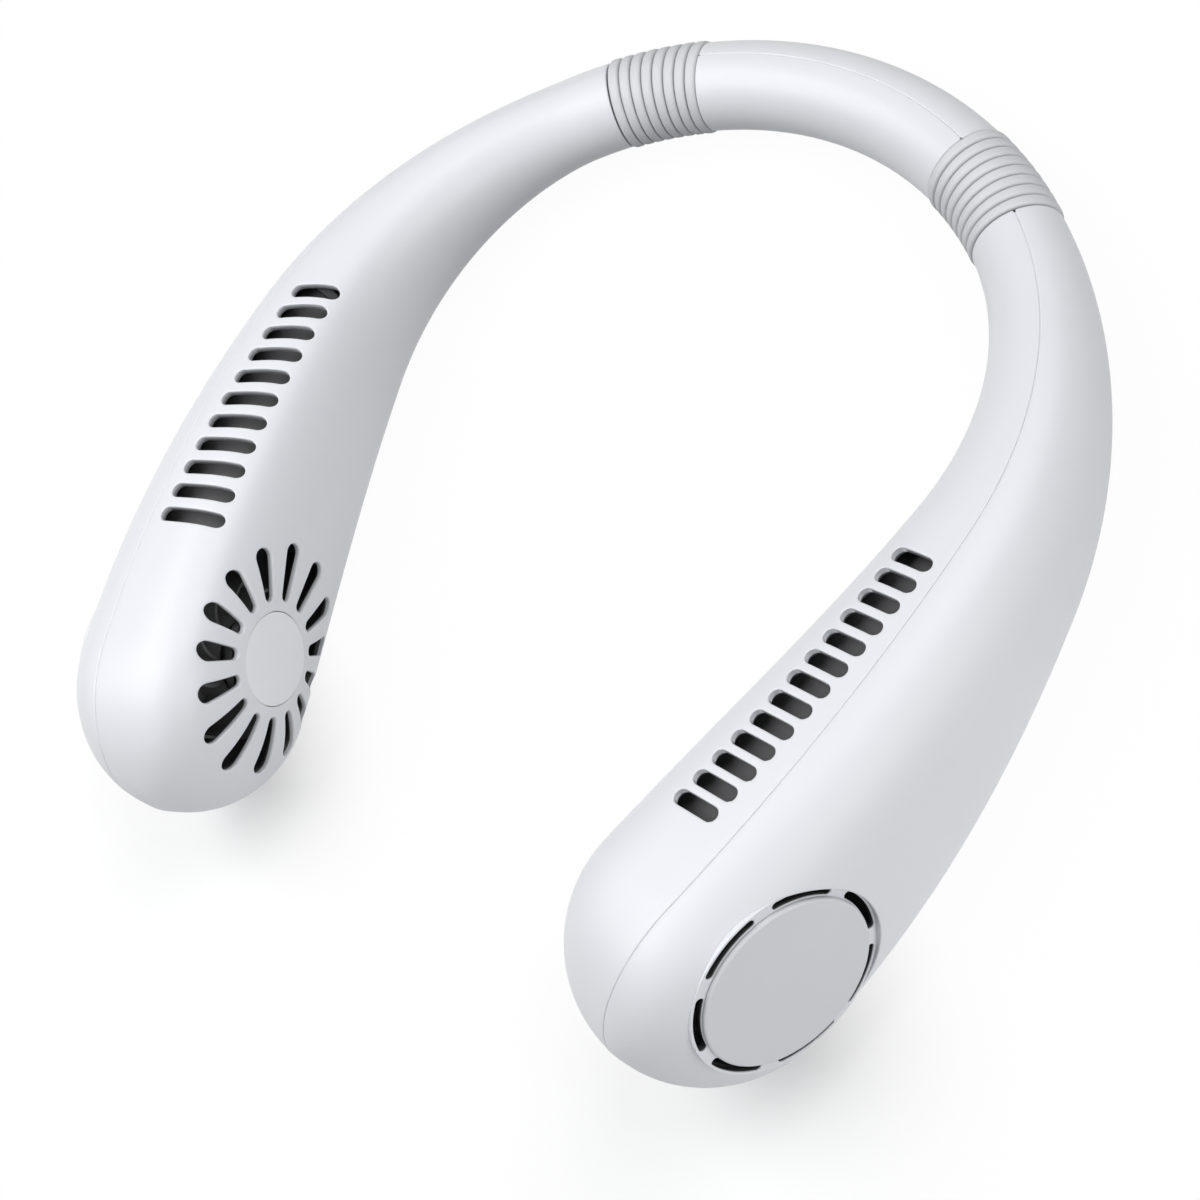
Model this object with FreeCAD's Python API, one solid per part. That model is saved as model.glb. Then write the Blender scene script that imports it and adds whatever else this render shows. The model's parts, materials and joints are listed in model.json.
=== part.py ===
"""Electric neck fan: a flexible collar with a blower in each bulb-shaped end.

The fan is drawn flat first, with the neck's centre at the origin, X to the wearer's left-right,
Y to the back of the neck and Z up out of the plane of the collar. Each arm is drawn on the +X side
in a local frame at a station of its centre line (x along the arm to the front, y outwards, z up),
and the left one is mirrored. At the end everything is tipped until it lies on a table.
"""
import FreeCAD, Part
import math
import os

Vector = FreeCAD.Vector

# Centre line of the collar: an arc round the neck, then a slower arc along each arm
NECK_RADIUS = 89.0
BACK_TURN = 93.7
ARM_RADIUS = 368.0
FRONT_TURN = 13.8

# Outer sizes of the tube and of the bulb at the end of each arm, and how soon its width and height grow
TUBE_RADIUS = 10.0
BULB_HALF_WIDTH = 21.65
BULB_HALF_HEIGHT = 26.7
BULB_SQUARENESS = 3.3
BULB_SPLAY = 0.088
BULB_FLATTENING = 0.1
BULB_ONSET = 3
BULB_NOSE = 28.6
GROWTH_START = 62.0
GROWTH_WIDE = 0.94
GROWTH_TALL = 0.7
WALL = 1.8

# Flexible stretch between band and arm, as angles round the neck
SLEEVE_START = 23.4
SLEEVE_END = 38.0
SLEEVE_GAP = 0.3
SLEEVE_BORE = 8.5
SLEEVE_GROOVE_RADIUS = 9.55
SLEEVE_RIB_RADIUS = 10.45
RIB_COUNT = 8
RIB_CREST_SHARE = 0.42
RIB_FOOT_SHARE = 0.74

# Collars that plug the sleeve onto the shells
COLLAR_REACH = 3.5
COLLAR_DEPTH = 6.0
COLLAR_WALL = 1.4
COLLAR_CLEARANCE = 0.15
COLLAR_WEB = 2.0

# Spring strip and cable through the sleeve
STRIP_THICKNESS = 0.8
STRIP_HEIGHT = 8.0
STRIP_OVERRUN = 1.2
STRIP_CLEARANCE = 0.3
CABLE_RADIUS = 1.1
CABLE_DROP = 5.8
CABLE_CLEARANCE = 0.3

# Air slots along the top of each arm, where its two shells meet, how far its bulb is rolled outer face up,
# and how far its sleeve is moved on round the neck
ARMS = {
    "left": {"slots": 11, "width": 3.5, "seam": 5.5, "roll": -6.0, "sleeve_shift": -5.3,
             "first": {"station": 140.1, "middle": -5.0, "length": 11.0, "turn": -22.0},
             "last": {"station": 203.1, "middle": -5.8, "length": 16.8, "turn": 0.0}},
    "right": {"slots": 13, "width": 3.2, "seam": 1.5, "roll": 7.0, "sleeve_shift": 5.3,
              "first": {"station": 155.5, "middle": -5.4, "length": 9.0, "turn": 0.0},
              "last": {"station": 217.3, "middle": -9.0, "length": 10.6, "turn": 8.0}},
}

# Blower in the bulb, on an axis that points outwards and a little up
FAN_SETBACK = 7.9
FAN_RISE = 0.4
FAN_LEAN = 4.0
MOTOR_RADIUS = 8.5
MOTOR_LENGTH = 11.0
SHAFT_RADIUS = 1.0
RUNNING_CLEARANCE = 0.05
BEARING_RADIUS = 3.0
BEARING_LENGTH = 4.0
IMPELLER_RADIUS = 19.0
IMPELLER_HUB_WALL = 1.2
IMPELLER_PLATE = 1.6
IMPELLER_GAP = 0.6
HUB_BOSS_RADIUS = 3.2
HUB_BOSS_LENGTH = 4.0
BLADE_COUNT = 11
BLADE_THICKNESS = 0.9
BLADE_SWEEP = 32.0
BLADE_INNER_HEIGHT = 7.5
BLADE_OUTER_HEIGHT = 10.5

# Sunburst grille on the inner side of the bulb, with a cap over the motor's screws
GRILLE_COUNT = 15
GRILLE_INNER_RADIUS = 13.5
GRILLE_REACH_ALONG = 26.6
GRILLE_REACH_UP = 23.0
GRILLE_WIDE = 4.4
GRILLE_NARROW = 1.8
CAP_RADIUS = 10.6
CAP_SINK = 0.25
CAP_PLATE = 1.0
CAP_RIM = 1.1
CAP_DEPTH = 2.4
CAP_CLEARANCE = 0.12
MOTOR_SEAT = 1.8
MOTOR_SEAT_RADIUS = 12.6
SCREW_COUNT = 3
SCREW_CIRCLE = 5.6
SCREW_RADIUS = 0.8
SCREW_HEAD_RADIUS = 1.5
SCREW_HEAD_HEIGHT = 0.9
SCREW_LENGTH = 4.5

# Cover disc raised on the outer side, over a sunk floor with a ring of air slots
DISC_SETBACK = 4.05
DISC_OFFSET = 18.15
DISC_RISE = 0.5
DISC_LEAN = 5.0
DISC_RADIUS = 18.64
DISC_THICKNESS = 1.6
DISC_EDGE = 0.7
DISC_FOOT_RADIUS = 16.2
DISC_LIFT = 0.6
RECESS_RADIUS = 20.9
RING_SLOT_COUNT = 7
RING_SLOT_FIRST = 32.0
RING_SLOT_BRIDGE = 12.0
RING_SLOT_INNER = 17.0
RING_SLOT_OUTER = 20.4

# Battery cell in each arm, between two cradles
BATTERY_RADIUS = 7.0
BATTERY_LENGTH = 49.0
BATTERY_STATION = 117.0
BATTERY_SHIFT = -1.8
CRADLE_THICKNESS = 2.0
CRADLE_INSET = 5.0
CRADLE_CLEARANCE = 0.15

# Control board in the left arm, with the switch, lamp and charging socket in line on the outer face
BOARD_STATION = 166.0
BOARD_LENGTH = 52.0
BOARD_HEIGHT = 15.0
BOARD_THICKNESS = 1.2
BOARD_POST_RADIUS = 1.8
BOARD_POST_SPREAD = 17.0
BUTTON_LENGTH = 13.0
BUTTON_HEIGHT = 6.0
BUTTON_PROUD = 0.9
BUTTON_TRAVEL = 0.5
BUTTON_CLEARANCE = 0.3
BUTTON_FLANGE_GAP = 1.2
BUTTON_FLANGE = 1.0
BUTTON_FLANGE_THICKNESS = 1.0
SWITCH_SIDE = 6.0
SWITCH_HEIGHT = 3.4
SWITCH_PLUNGER_RADIUS = 1.7
LAMP_RADIUS = 1.2
LAMP_PLACE = 13.0
LAMP_CLEARANCE = 0.1
SOCKET_PLACE = -17.0
SOCKET_WIDTH = 8.94
SOCKET_HEIGHT = 3.2
SOCKET_DEPTH = 7.4
SOCKET_WALL = 0.3
SOCKET_TONGUE = 0.7
SOCKET_SETBACK = 0.4
SOCKET_CLEARANCE = 0.15

# Drawing aids: how many sections and points carry the lofts, and lengths that only need to be ample
BODY_SECTIONS = 9
NOSE_SECTIONS = 6
NOSE_LAST = 0.995
SECTION_POINTS = 20
OUTLINE_SECTIONS = 120
OUTLINE_POINTS = 72
AMPLE = 120.0

ARM_LENGTH = NECK_RADIUS * math.radians(BACK_TURN) + ARM_RADIUS * math.radians(FRONT_TURN)
FAN_STATION = ARM_LENGTH - FAN_SETBACK
DISC_STATION = ARM_LENGTH - DISC_SETBACK


def heading(station):
    """Angle turned by the centre line from the back of the neck to a station along it, in radians."""
    back = NECK_RADIUS * math.radians(BACK_TURN)
    return min(station, back) / NECK_RADIUS + max(station - back, 0.0) / ARM_RADIUS


def axes(angle):
    """Unit vectors along the arm and outwards for a heading."""
    along = Vector(math.cos(angle), -math.sin(angle), 0)
    outwards = Vector(math.sin(angle), math.cos(angle), 0)
    return along, outwards


def centre(station):
    """Point of the centre line at a station."""
    back = NECK_RADIUS * math.radians(BACK_TURN)
    turn = heading(station)
    _, outwards = axes(turn)
    if station <= back:
        return outwards * NECK_RADIUS
    _, joint_outwards = axes(math.radians(BACK_TURN))
    return joint_outwards * (NECK_RADIUS - ARM_RADIUS) + outwards * ARM_RADIUS


def local_placement(station):
    """Placement of the local frame at a station: x along the arm, y outwards, z up."""
    along, outwards = axes(heading(station))
    up = Vector(0, 0, 1)
    turn = FreeCAD.Rotation(along, outwards, up, "ZXY")
    return FreeCAD.Placement(centre(station), turn)


def placed(shape, station):
    """A copy of a shape drawn in the local frame, moved to its station."""
    copy = shape.copy()
    copy.Placement = local_placement(station).multiply(copy.Placement)
    return copy


def eased(share):
    """Smooth step from 0 to 1."""
    return share * share * (3 - 2 * share)


def arm_start(side):
    """Station at which an arm's shells begin, where its sleeve ends."""
    return NECK_RADIUS * math.radians(SLEEVE_END + ARMS[side]["sleeve_shift"])


def growth(station):
    """Share of the way from the start of the swelling to the bulb."""
    share = (station - GROWTH_START) / (ARM_LENGTH - GROWTH_START)
    return min(max(share, 0.0), 1.0)


def bulb_share(station):
    """How far the bulb's roll and flatter outer side have come in at a station."""
    return eased(growth(station)) ** BULB_ONSET


def rolled_placement(side, station):
    """Local frame at a station, rolled about the arm with the bulb."""
    roll = FreeCAD.Rotation(Vector(1, 0, 0), ARMS[side]["roll"] * bulb_share(station))
    return local_placement(station).multiply(FreeCAD.Placement(Vector(0, 0, 0), roll))


def section_sizes(station):
    """Half width, half height, squareness and splay of the arm at a station: splay moves the underside outwards."""
    share = growth(station)
    tall = eased(share ** GROWTH_TALL)
    half_width = TUBE_RADIUS + (BULB_HALF_WIDTH - TUBE_RADIUS) * eased(share ** GROWTH_WIDE)
    half_height = TUBE_RADIUS + (BULB_HALF_HEIGHT - TUBE_RADIUS) * tall
    squareness = 2.0 + (BULB_SQUARENESS - 2.0) * tall * tall
    return half_width, half_height, squareness, BULB_SPLAY * eased(share)


def outer_half_width(station):
    """Half width of the arm on its outer side, which is flatter at the bulb."""
    return section_sizes(station)[0] * (1 - BULB_FLATTENING * bulb_share(station))


def section_points(side, station, beyond, inset, scale, count):
    """Points round the arm's section, a super-ellipse, moved on beyond its station and shrunk by a scale."""
    half_width, half_height, squareness, splay = section_sizes(station)
    place = rolled_placement(side, station)
    power = 2.0 / squareness
    points = []
    for index in range(count):
        angle = 2 * math.pi * index / count
        across = math.copysign(abs(math.cos(angle)) ** power, math.cos(angle))
        upward = math.copysign(abs(math.sin(angle)) ** power, math.sin(angle))
        reach = outer_half_width(station) if across > 0 else half_width
        rise = (half_height - inset) * scale * upward
        local = Vector(beyond, (reach - inset) * scale * across - splay * rise, rise)
        points.append(place.multVec(local))
    return points


def section_wire(side, station, beyond, inset, scale):
    """Closed curve through the points of a section."""
    points = section_points(side, station, beyond, inset, scale, SECTION_POINTS)
    curve = Part.BSplineCurve()
    curve.interpolate(Points=points, PeriodicFlag=True)
    return Part.Wire(curve.toShape())


def nose_sections(count, inset):
    """Distances beyond the arm's last station, and scales, of the sections that round the nose off."""
    sections = []
    for index in range(1, count + 1):
        share = NOSE_LAST * math.sin(math.pi / 2 * index / count)
        sections.append(((BULB_NOSE - inset) * share, math.sqrt(1 - share * share)))
    return sections


def arm_body(side, inset):
    """Solid arm from its joint with the sleeve to the rounded nose, drawn in by an inset."""
    start = arm_start(side)
    wires = []
    for index in range(BODY_SECTIONS):
        station = start + (ARM_LENGTH - start) * index / (BODY_SECTIONS - 1)
        wires.append(section_wire(side, station, 0.0, inset, 1.0))
    for beyond, scale in nose_sections(NOSE_SECTIONS, inset):
        wires.append(section_wire(side, ARM_LENGTH, beyond, inset, scale))
    return Part.makeLoft(wires, True, False)


def outer_side(side):
    """Block on the outer side of the parting line, which follows the centre line at an offset."""
    back = NECK_RADIUS * math.radians(BACK_TURN)
    start = arm_start(side)
    seam = ARMS[side]["seam"]

    def on_line(station, ahead):
        along, outwards = axes(heading(station))
        return centre(station) + outwards * seam + along * ahead

    first = on_line(start, 0.0)
    joint = on_line(back, 0.0)
    last = on_line(ARM_LENGTH, 0.0)
    before = on_line(start, -WALL)
    beyond = on_line(ARM_LENGTH, 2 * BULB_NOSE)
    _, start_out = axes(heading(start))
    _, end_out = axes(heading(ARM_LENGTH))
    far_start = before + start_out * AMPLE
    far_end = beyond + end_out * AMPLE
    edges = [
        Part.makeLine(before, first),
        Part.Arc(first, on_line((start + back) / 2, 0.0), joint).toShape(),
        Part.Arc(joint, on_line((back + ARM_LENGTH) / 2, 0.0), last).toShape(),
        Part.makeLine(last, beyond),
        Part.makeLine(beyond, far_end),
        Part.makeLine(far_end, far_start),
        Part.makeLine(far_start, before),
    ]
    face = Part.Face(Part.Wire(edges))
    face.translate(Vector(0, 0, -AMPLE / 2))
    return face.extrude(Vector(0, 0, AMPLE))


def outward_cylinder(radius, start, end, along=0.0, up=0.0):
    """Cylinder on an axis that points outwards, between two offsets from the centre line."""
    return Part.makeCylinder(radius, end - start, Vector(along, start, up), Vector(0, 1, 0))


def ring_segment(outer, inner, start, end, lift=0.0):
    """Stretch of round tube that follows the neck arc between two angles, hollow if it has a bore."""
    def solid(radius):
        along, outwards = axes(math.radians(start))
        place = outwards * NECK_RADIUS + Vector(0, 0, lift)
        face = Part.Face(Part.Wire(Part.makeCircle(radius, place, along)))
        return face.revolve(Vector(0, 0, 0), Vector(0, 0, 1), start - end)

    if inner > 0:
        return solid(outer).cut(solid(inner))
    return solid(outer)


def moved_on(shape, angle):
    """A copy of a shape moved on round the neck, towards the front of its side, by an angle in degrees."""
    copy = shape.copy()
    copy.rotate(Vector(0, 0, 0), Vector(0, 0, 1), -angle)
    return copy


def band_shells():
    """Outer and inner half of the short band at the nape, parted on a cylinder round the neck."""
    tube = ring_segment(TUBE_RADIUS, TUBE_RADIUS - WALL, -SLEEVE_START, SLEEVE_START)
    core_radius = NECK_RADIUS + ARMS["right"]["seam"]
    core = Part.makeCylinder(core_radius, AMPLE, Vector(0, 0, -AMPLE / 2))
    return tube.cut(core), tube.common(core)


def collar(fixed, outwards_sign):
    """Plug at the end of a shell, with a web that holds the spring strip and lets the cable through."""
    step = math.degrees(1.0 / NECK_RADIUS)
    radius = TUBE_RADIUS - WALL - COLLAR_CLEARANCE
    inside = fixed - outwards_sign * COLLAR_DEPTH * step
    reach = fixed + outwards_sign * COLLAR_REACH * step
    ring = ring_segment(radius, radius - COLLAR_WALL, min(inside, reach), max(inside, reach))
    web_end = inside + outwards_sign * COLLAR_WEB * step
    web = ring_segment(radius, 0.0, min(inside, web_end), max(inside, web_end))
    strip_hole = strip(STRIP_CLEARANCE)
    cable_hole = ring_segment(CABLE_RADIUS + CABLE_CLEARANCE, 0.0, 0.0, SLEEVE_END + SLEEVE_START, -CABLE_DROP)
    return ring.fuse(web).removeSplitter().cut(strip_hole).cut(cable_hole)


def strip(clearance):
    """Flat spring that follows the neck arc from collar to collar, grown by a clearance."""
    step = math.degrees(1.0 / NECK_RADIUS)
    overrun = (COLLAR_DEPTH + STRIP_OVERRUN + clearance) * step
    start = SLEEVE_START - overrun
    end = SLEEVE_END + overrun
    along, outwards = axes(math.radians(start))
    half = STRIP_THICKNESS / 2 + clearance
    rise = Vector(0, 0, STRIP_HEIGHT / 2 + clearance)
    near = outwards * (NECK_RADIUS - half)
    far = outwards * (NECK_RADIUS + half)
    corners = [near - rise, far - rise, far + rise, near + rise, near - rise]
    return Part.Face(Part.makePolygon(corners)).revolve(Vector(0, 0, 0), Vector(0, 0, 1), start - end)


def sleeve():
    """Ribbed flexible hose between band and arm: a ruled loft through the ribs, bored out."""
    step = math.degrees(1.0 / NECK_RADIUS)
    start = SLEEVE_START
    end = SLEEVE_END - SLEEVE_GAP * step
    pitch = (end - start) / RIB_COUNT
    rings = []
    for index in range(RIB_COUNT):
        middle = start + pitch * (index + 0.5)
        foot = pitch * RIB_FOOT_SHARE / 2
        crest = pitch * RIB_CREST_SHARE / 2
        rings.append((middle - foot, SLEEVE_GROOVE_RADIUS))
        rings.append((middle - crest, SLEEVE_RIB_RADIUS))
        rings.append((middle + crest, SLEEVE_RIB_RADIUS))
        rings.append((middle + foot, SLEEVE_GROOVE_RADIUS))
    rings.insert(0, (start, SLEEVE_GROOVE_RADIUS))
    rings.append((end, SLEEVE_GROOVE_RADIUS))
    wires = []
    for angle, radius in rings:
        along, outwards = axes(math.radians(angle))
        circle = Part.Circle(outwards * NECK_RADIUS, along, radius)
        circle.XAxis = Vector(0, 0, 1)
        wires.append(Part.Wire(circle.toShape()))
    body = Part.makeLoft(wires, True, True)
    return body.cut(ring_segment(SLEEVE_BORE, 0.0, start - step, end + step))


def cable(start, end):
    """Stretch of the cable that joins the two arms."""
    return ring_segment(CABLE_RADIUS, 0.0, start, end, -CABLE_DROP)


def air_slots(arm):
    """Cutters for the row of rounded slots along the top of an arm."""
    cutters = []
    first, last = arm["first"], arm["last"]
    half = arm["width"] / 2
    for index in range(arm["slots"]):
        share = index / (arm["slots"] - 1)
        at = {key: first[key] + (last[key] - first[key]) * share for key in first}
        reach = at["length"] / 2 - half
        edges = [
            Part.makeLine(Vector(-half, -reach, 0), Vector(-half, reach, 0)),
            Part.Arc(Vector(-half, reach, 0), Vector(0, reach + half, 0), Vector(half, reach, 0)).toShape(),
            Part.makeLine(Vector(half, reach, 0), Vector(half, -reach, 0)),
            Part.Arc(Vector(half, -reach, 0), Vector(0, -reach - half, 0), Vector(-half, -reach, 0)).toShape(),
        ]
        stadium = Part.Face(Part.Wire(edges)).extrude(Vector(0, 0, AMPLE))
        stadium.rotate(Vector(0, 0, 0), Vector(0, 0, 1), at["turn"])
        stadium.translate(Vector(0, at["middle"], 0))
        cutters.append(placed(stadium, at["station"]))
    return cutters


def fan_placement(side):
    """Frame of the blower: y along its axis to the outside, x along the arm."""
    lean = FreeCAD.Rotation(Vector(1, 0, 0), FAN_LEAN)
    return rolled_placement(side, FAN_STATION).multiply(FreeCAD.Placement(Vector(0, 0, FAN_RISE), lean))


def on_fan(side, shape):
    """A copy of a shape drawn on the blower's axis, moved to its place in the arm."""
    copy = shape.copy()
    copy.Placement = fan_placement(side).multiply(copy.Placement)
    return copy


def teardrop(turn, depth_start, depth_end):
    """One grille opening at a turn in degrees: two round ends, the outer one wider, joined by straight sides."""
    wide = GRILLE_WIDE / 2
    narrow = GRILLE_NARROW / 2
    inner = GRILLE_INNER_RADIUS + narrow
    along = math.cos(math.radians(turn)) / GRILLE_REACH_ALONG
    upward = math.sin(math.radians(turn)) / GRILLE_REACH_UP
    outer = 1 / math.hypot(along, upward) - wide
    slope = math.asin((wide - narrow) / (outer - inner))

    def rim(place, radius, angle):
        return Vector(place + radius * math.cos(angle), depth_start, radius * math.sin(angle))

    side = math.pi / 2 + slope
    edges = [
        Part.makeLine(rim(inner, narrow, side), rim(outer, wide, side)),
        Part.Arc(rim(outer, wide, side), rim(outer, wide, 0), rim(outer, wide, -side)).toShape(),
        Part.makeLine(rim(outer, wide, -side), rim(inner, narrow, -side)),
        Part.Arc(rim(inner, narrow, -side), rim(inner, narrow, math.pi), rim(inner, narrow, side)).toShape(),
    ]
    opening = Part.Face(Part.Wire(edges)).extrude(Vector(0, depth_end - depth_start, 0))
    opening.rotate(Vector(0, 0, 0), Vector(0, 1, 0), -turn)
    return opening


def seat_faces():
    """Offsets on the inner side: cap face, recess floor and the face that the motor sits on."""
    cap_face = CAP_SINK - section_sizes(FAN_STATION)[0]
    recess_floor = cap_face + CAP_DEPTH
    motor_face = recess_floor + MOTOR_SEAT
    return cap_face, recess_floor, motor_face


def around_fan(shape, count):
    """Copies of a shape turned evenly about the fan axis."""
    copies = []
    for index in range(count):
        copy = shape.copy()
        copy.rotate(Vector(0, 0, 0), Vector(0, 1, 0), 360.0 * index / count)
        copies.append(copy)
    return copies


def screw_holes(radius, start, end):
    """Cylinders on the motor's screw circle."""
    return around_fan(outward_cylinder(radius, start, end, SCREW_CIRCLE), SCREW_COUNT)


def motor_seat():
    """Boss behind the cap that the motor is screwed to."""
    cap_face, _, motor_face = seat_faces()
    return outward_cylinder(MOTOR_SEAT_RADIUS, cap_face - WALL, motor_face)


def inner_openings():
    """Recess for the cap, screw holes and the sunburst of grille openings."""
    cap_face, recess_floor, motor_face = seat_faces()
    recess = outward_cylinder(CAP_RADIUS + CAP_CLEARANCE, cap_face - AMPLE / 4, recess_floor)
    holes = screw_holes(SCREW_RADIUS + CAP_CLEARANCE, recess_floor - WALL, motor_face + WALL)
    inner_reach = cap_face / 3
    pitch = 360.0 / GRILLE_COUNT
    drops = [teardrop(pitch * index, cap_face - AMPLE / 4, inner_reach) for index in range(GRILLE_COUNT)]
    return [recess] + holes + drops


def disc_placement(side):
    """Frame of the cover disc: z along its axis to the outside, and x along the arm."""
    lean = FreeCAD.Rotation(Vector(1, 0, 0), DISC_LEAN - 90)
    seat = FreeCAD.Placement(Vector(0, DISC_OFFSET, DISC_RISE), lean)
    return rolled_placement(side, DISC_STATION).multiply(seat)


def on_disc(side, shape):
    """A copy of a shape drawn on the disc's axis, moved to its place in the arm."""
    copy = shape.copy()
    copy.Placement = disc_placement(side).multiply(copy.Placement)
    return copy


def recess_floor_depth():
    """Depth of the floor of the disc's recess below the disc's face."""
    return DISC_THICKNESS + DISC_LIFT


def recess_cup(side):
    """Cup that carries the floor and wall of the disc's recess inside the outer shell."""
    depth = recess_floor_depth() + WALL
    cup = Part.makeCylinder(RECESS_RADIUS + WALL, depth + AMPLE / 4, Vector(0, 0, -depth))
    return on_disc(side, cup)


def recess_openings(side):
    """The recess itself and the ring of arc-shaped air slots through its floor."""
    depth = recess_floor_depth()
    openings = [on_disc(side, Part.makeCylinder(RECESS_RADIUS, AMPLE / 4, Vector(0, 0, -depth)))]
    pitch = 360.0 / RING_SLOT_COUNT
    sweep = pitch - RING_SLOT_BRIDGE
    for index in range(RING_SLOT_COUNT):
        corners = [Vector(RING_SLOT_INNER, 0, 0), Vector(RING_SLOT_OUTER, 0, 0)]
        rise = Vector(0, 0, 2 * WALL)
        outline = [corners[0] - rise, corners[1] - rise, corners[1] + rise, corners[0] + rise, corners[0] - rise]
        arc = Part.Face(Part.makePolygon(outline)).revolve(Vector(0, 0, 0), Vector(0, 0, 1), sweep)
        arc.rotate(Vector(0, 0, 0), Vector(0, 0, 1), -RING_SLOT_FIRST - sweep / 2 - pitch * index)
        arc.translate(Vector(0, 0, -depth))
        openings.append(on_disc(side, arc))
    return openings


def cover_disc(side):
    """Flat round cover with a softened edge, on a foot that stands on the recess floor."""
    profile = [
        Vector(0, 0, -recess_floor_depth()),
        Vector(DISC_FOOT_RADIUS, 0, -recess_floor_depth()),
        Vector(DISC_FOOT_RADIUS, 0, -DISC_THICKNESS),
        Vector(DISC_RADIUS, 0, -DISC_THICKNESS),
        Vector(DISC_RADIUS, 0, -DISC_EDGE),
        Vector(DISC_RADIUS - DISC_EDGE, 0, 0),
        Vector(0, 0, 0),
    ]
    edges = [Part.makeLine(profile[index], profile[index + 1]) for index in range(4)]
    bend = DISC_EDGE * (1 - math.sqrt(0.5))
    middle = Vector(DISC_RADIUS - bend, 0, -bend)
    edges.append(Part.Arc(profile[4], middle, profile[5]).toShape())
    edges.append(Part.makeLine(profile[5], profile[6]))
    edges.append(Part.makeLine(profile[6], profile[0]))
    turned = Part.Face(Part.Wire(edges)).revolve(Vector(0, 0, 0), Vector(0, 0, 1), 360)
    return on_disc(side, turned)


def grille_cap():
    """Shallow round cap over the motor's screws, its rim standing on the recess floor."""
    cap_face, recess_floor, _ = seat_faces()
    cup = outward_cylinder(CAP_RADIUS, cap_face, recess_floor)
    hollow = outward_cylinder(CAP_RADIUS - CAP_RIM, cap_face + CAP_PLATE, recess_floor)
    return cup.cut(hollow)


def motor():
    """Motor can with its shaft hole, bearing seat and screw holes."""
    _, _, face = seat_faces()
    can = outward_cylinder(MOTOR_RADIUS, face, face + MOTOR_LENGTH)
    bore = outward_cylinder(SHAFT_RADIUS + RUNNING_CLEARANCE, face + WALL, face + MOTOR_LENGTH)
    seat = outward_cylinder(BEARING_RADIUS, face + MOTOR_LENGTH - BEARING_LENGTH, face + MOTOR_LENGTH)
    body = can.cut(bore).cut(seat)
    for hole in screw_holes(SCREW_RADIUS, face, face + SCREW_LENGTH - MOTOR_SEAT):
        body = body.cut(hole)
    return body


def motor_bearing():
    """Plain bush that the shaft runs in."""
    _, _, face = seat_faces()
    start = face + MOTOR_LENGTH - BEARING_LENGTH
    bush = outward_cylinder(BEARING_RADIUS, start, face + MOTOR_LENGTH)
    return bush.cut(outward_cylinder(SHAFT_RADIUS + RUNNING_CLEARANCE, start, face + MOTOR_LENGTH))


def impeller_plate_start():
    """Offset of the inner face of the impeller's plate."""
    return seat_faces()[2] + MOTOR_LENGTH + IMPELLER_GAP


def motor_shaft():
    """Shaft from inside the motor to the end of the impeller's boss."""
    _, _, face = seat_faces()
    end = impeller_plate_start() + IMPELLER_PLATE + HUB_BOSS_LENGTH
    return outward_cylinder(SHAFT_RADIUS, face + WALL + IMPELLER_GAP, end)


def motor_screws():
    """Screws from the cap's recess into the motor."""
    _, recess_floor, _ = seat_faces()
    screw = outward_cylinder(SCREW_RADIUS, recess_floor, recess_floor + SCREW_LENGTH, SCREW_CIRCLE)
    head = outward_cylinder(SCREW_HEAD_RADIUS, recess_floor - SCREW_HEAD_HEIGHT, recess_floor, SCREW_CIRCLE)
    return Part.makeCompound(around_fan(screw.fuse(head).removeSplitter(), SCREW_COUNT))


def blade():
    """One backward-curved blade of the impeller, an arc-shaped strip from the hub to the rim."""
    start = impeller_plate_start()
    low = start - BLADE_INNER_HEIGHT
    inner = MOTOR_RADIUS + IMPELLER_GAP + IMPELLER_HUB_WALL / 2
    outer = IMPELLER_RADIUS
    sweep = math.radians(BLADE_SWEEP)

    def point(radius, angle, shift):
        return Vector(radius * math.cos(angle) - shift * math.sin(angle), low,
                      radius * math.sin(angle) + shift * math.cos(angle))

    half = BLADE_THICKNESS / 2
    middle = (inner + outer) / 2
    bow = sweep * 0.28
    edges = [
        Part.Arc(point(inner, 0, -half), point(middle, bow, -half), point(outer, sweep, -half)).toShape(),
        Part.makeLine(point(outer, sweep, -half), point(outer, sweep, half)),
        Part.Arc(point(outer, sweep, half), point(middle, bow, half), point(inner, 0, half)).toShape(),
        Part.makeLine(point(inner, 0, half), point(inner, 0, -half)),
    ]
    height = BLADE_INNER_HEIGHT + IMPELLER_PLATE + BLADE_OUTER_HEIGHT
    return Part.Face(Part.Wire(edges)).extrude(Vector(0, height, 0))


def impeller():
    """Blower wheel: a hub bell over the motor, a plate, a shaft boss and curved blades on both sides."""
    start = impeller_plate_start()
    bell_inner = MOTOR_RADIUS + IMPELLER_GAP
    bell_outer = bell_inner + IMPELLER_HUB_WALL
    plate = outward_cylinder(IMPELLER_RADIUS, start, start + IMPELLER_PLATE)
    bell_end = start + IMPELLER_PLATE + BLADE_OUTER_HEIGHT
    bell = outward_cylinder(bell_outer, start - BLADE_INNER_HEIGHT, bell_end)
    wheel = plate.fuse([bell] + around_fan(blade(), BLADE_COUNT))
    wheel = wheel.cut(outward_cylinder(bell_inner, start - BLADE_INNER_HEIGHT, start))
    wheel = wheel.cut(outward_cylinder(bell_inner, start + IMPELLER_PLATE, bell_end))
    boss_end = start + IMPELLER_PLATE + HUB_BOSS_LENGTH
    wheel = wheel.fuse(outward_cylinder(HUB_BOSS_RADIUS, start, boss_end))
    return wheel.cut(outward_cylinder(SHAFT_RADIUS, start, boss_end)).removeSplitter()


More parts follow.
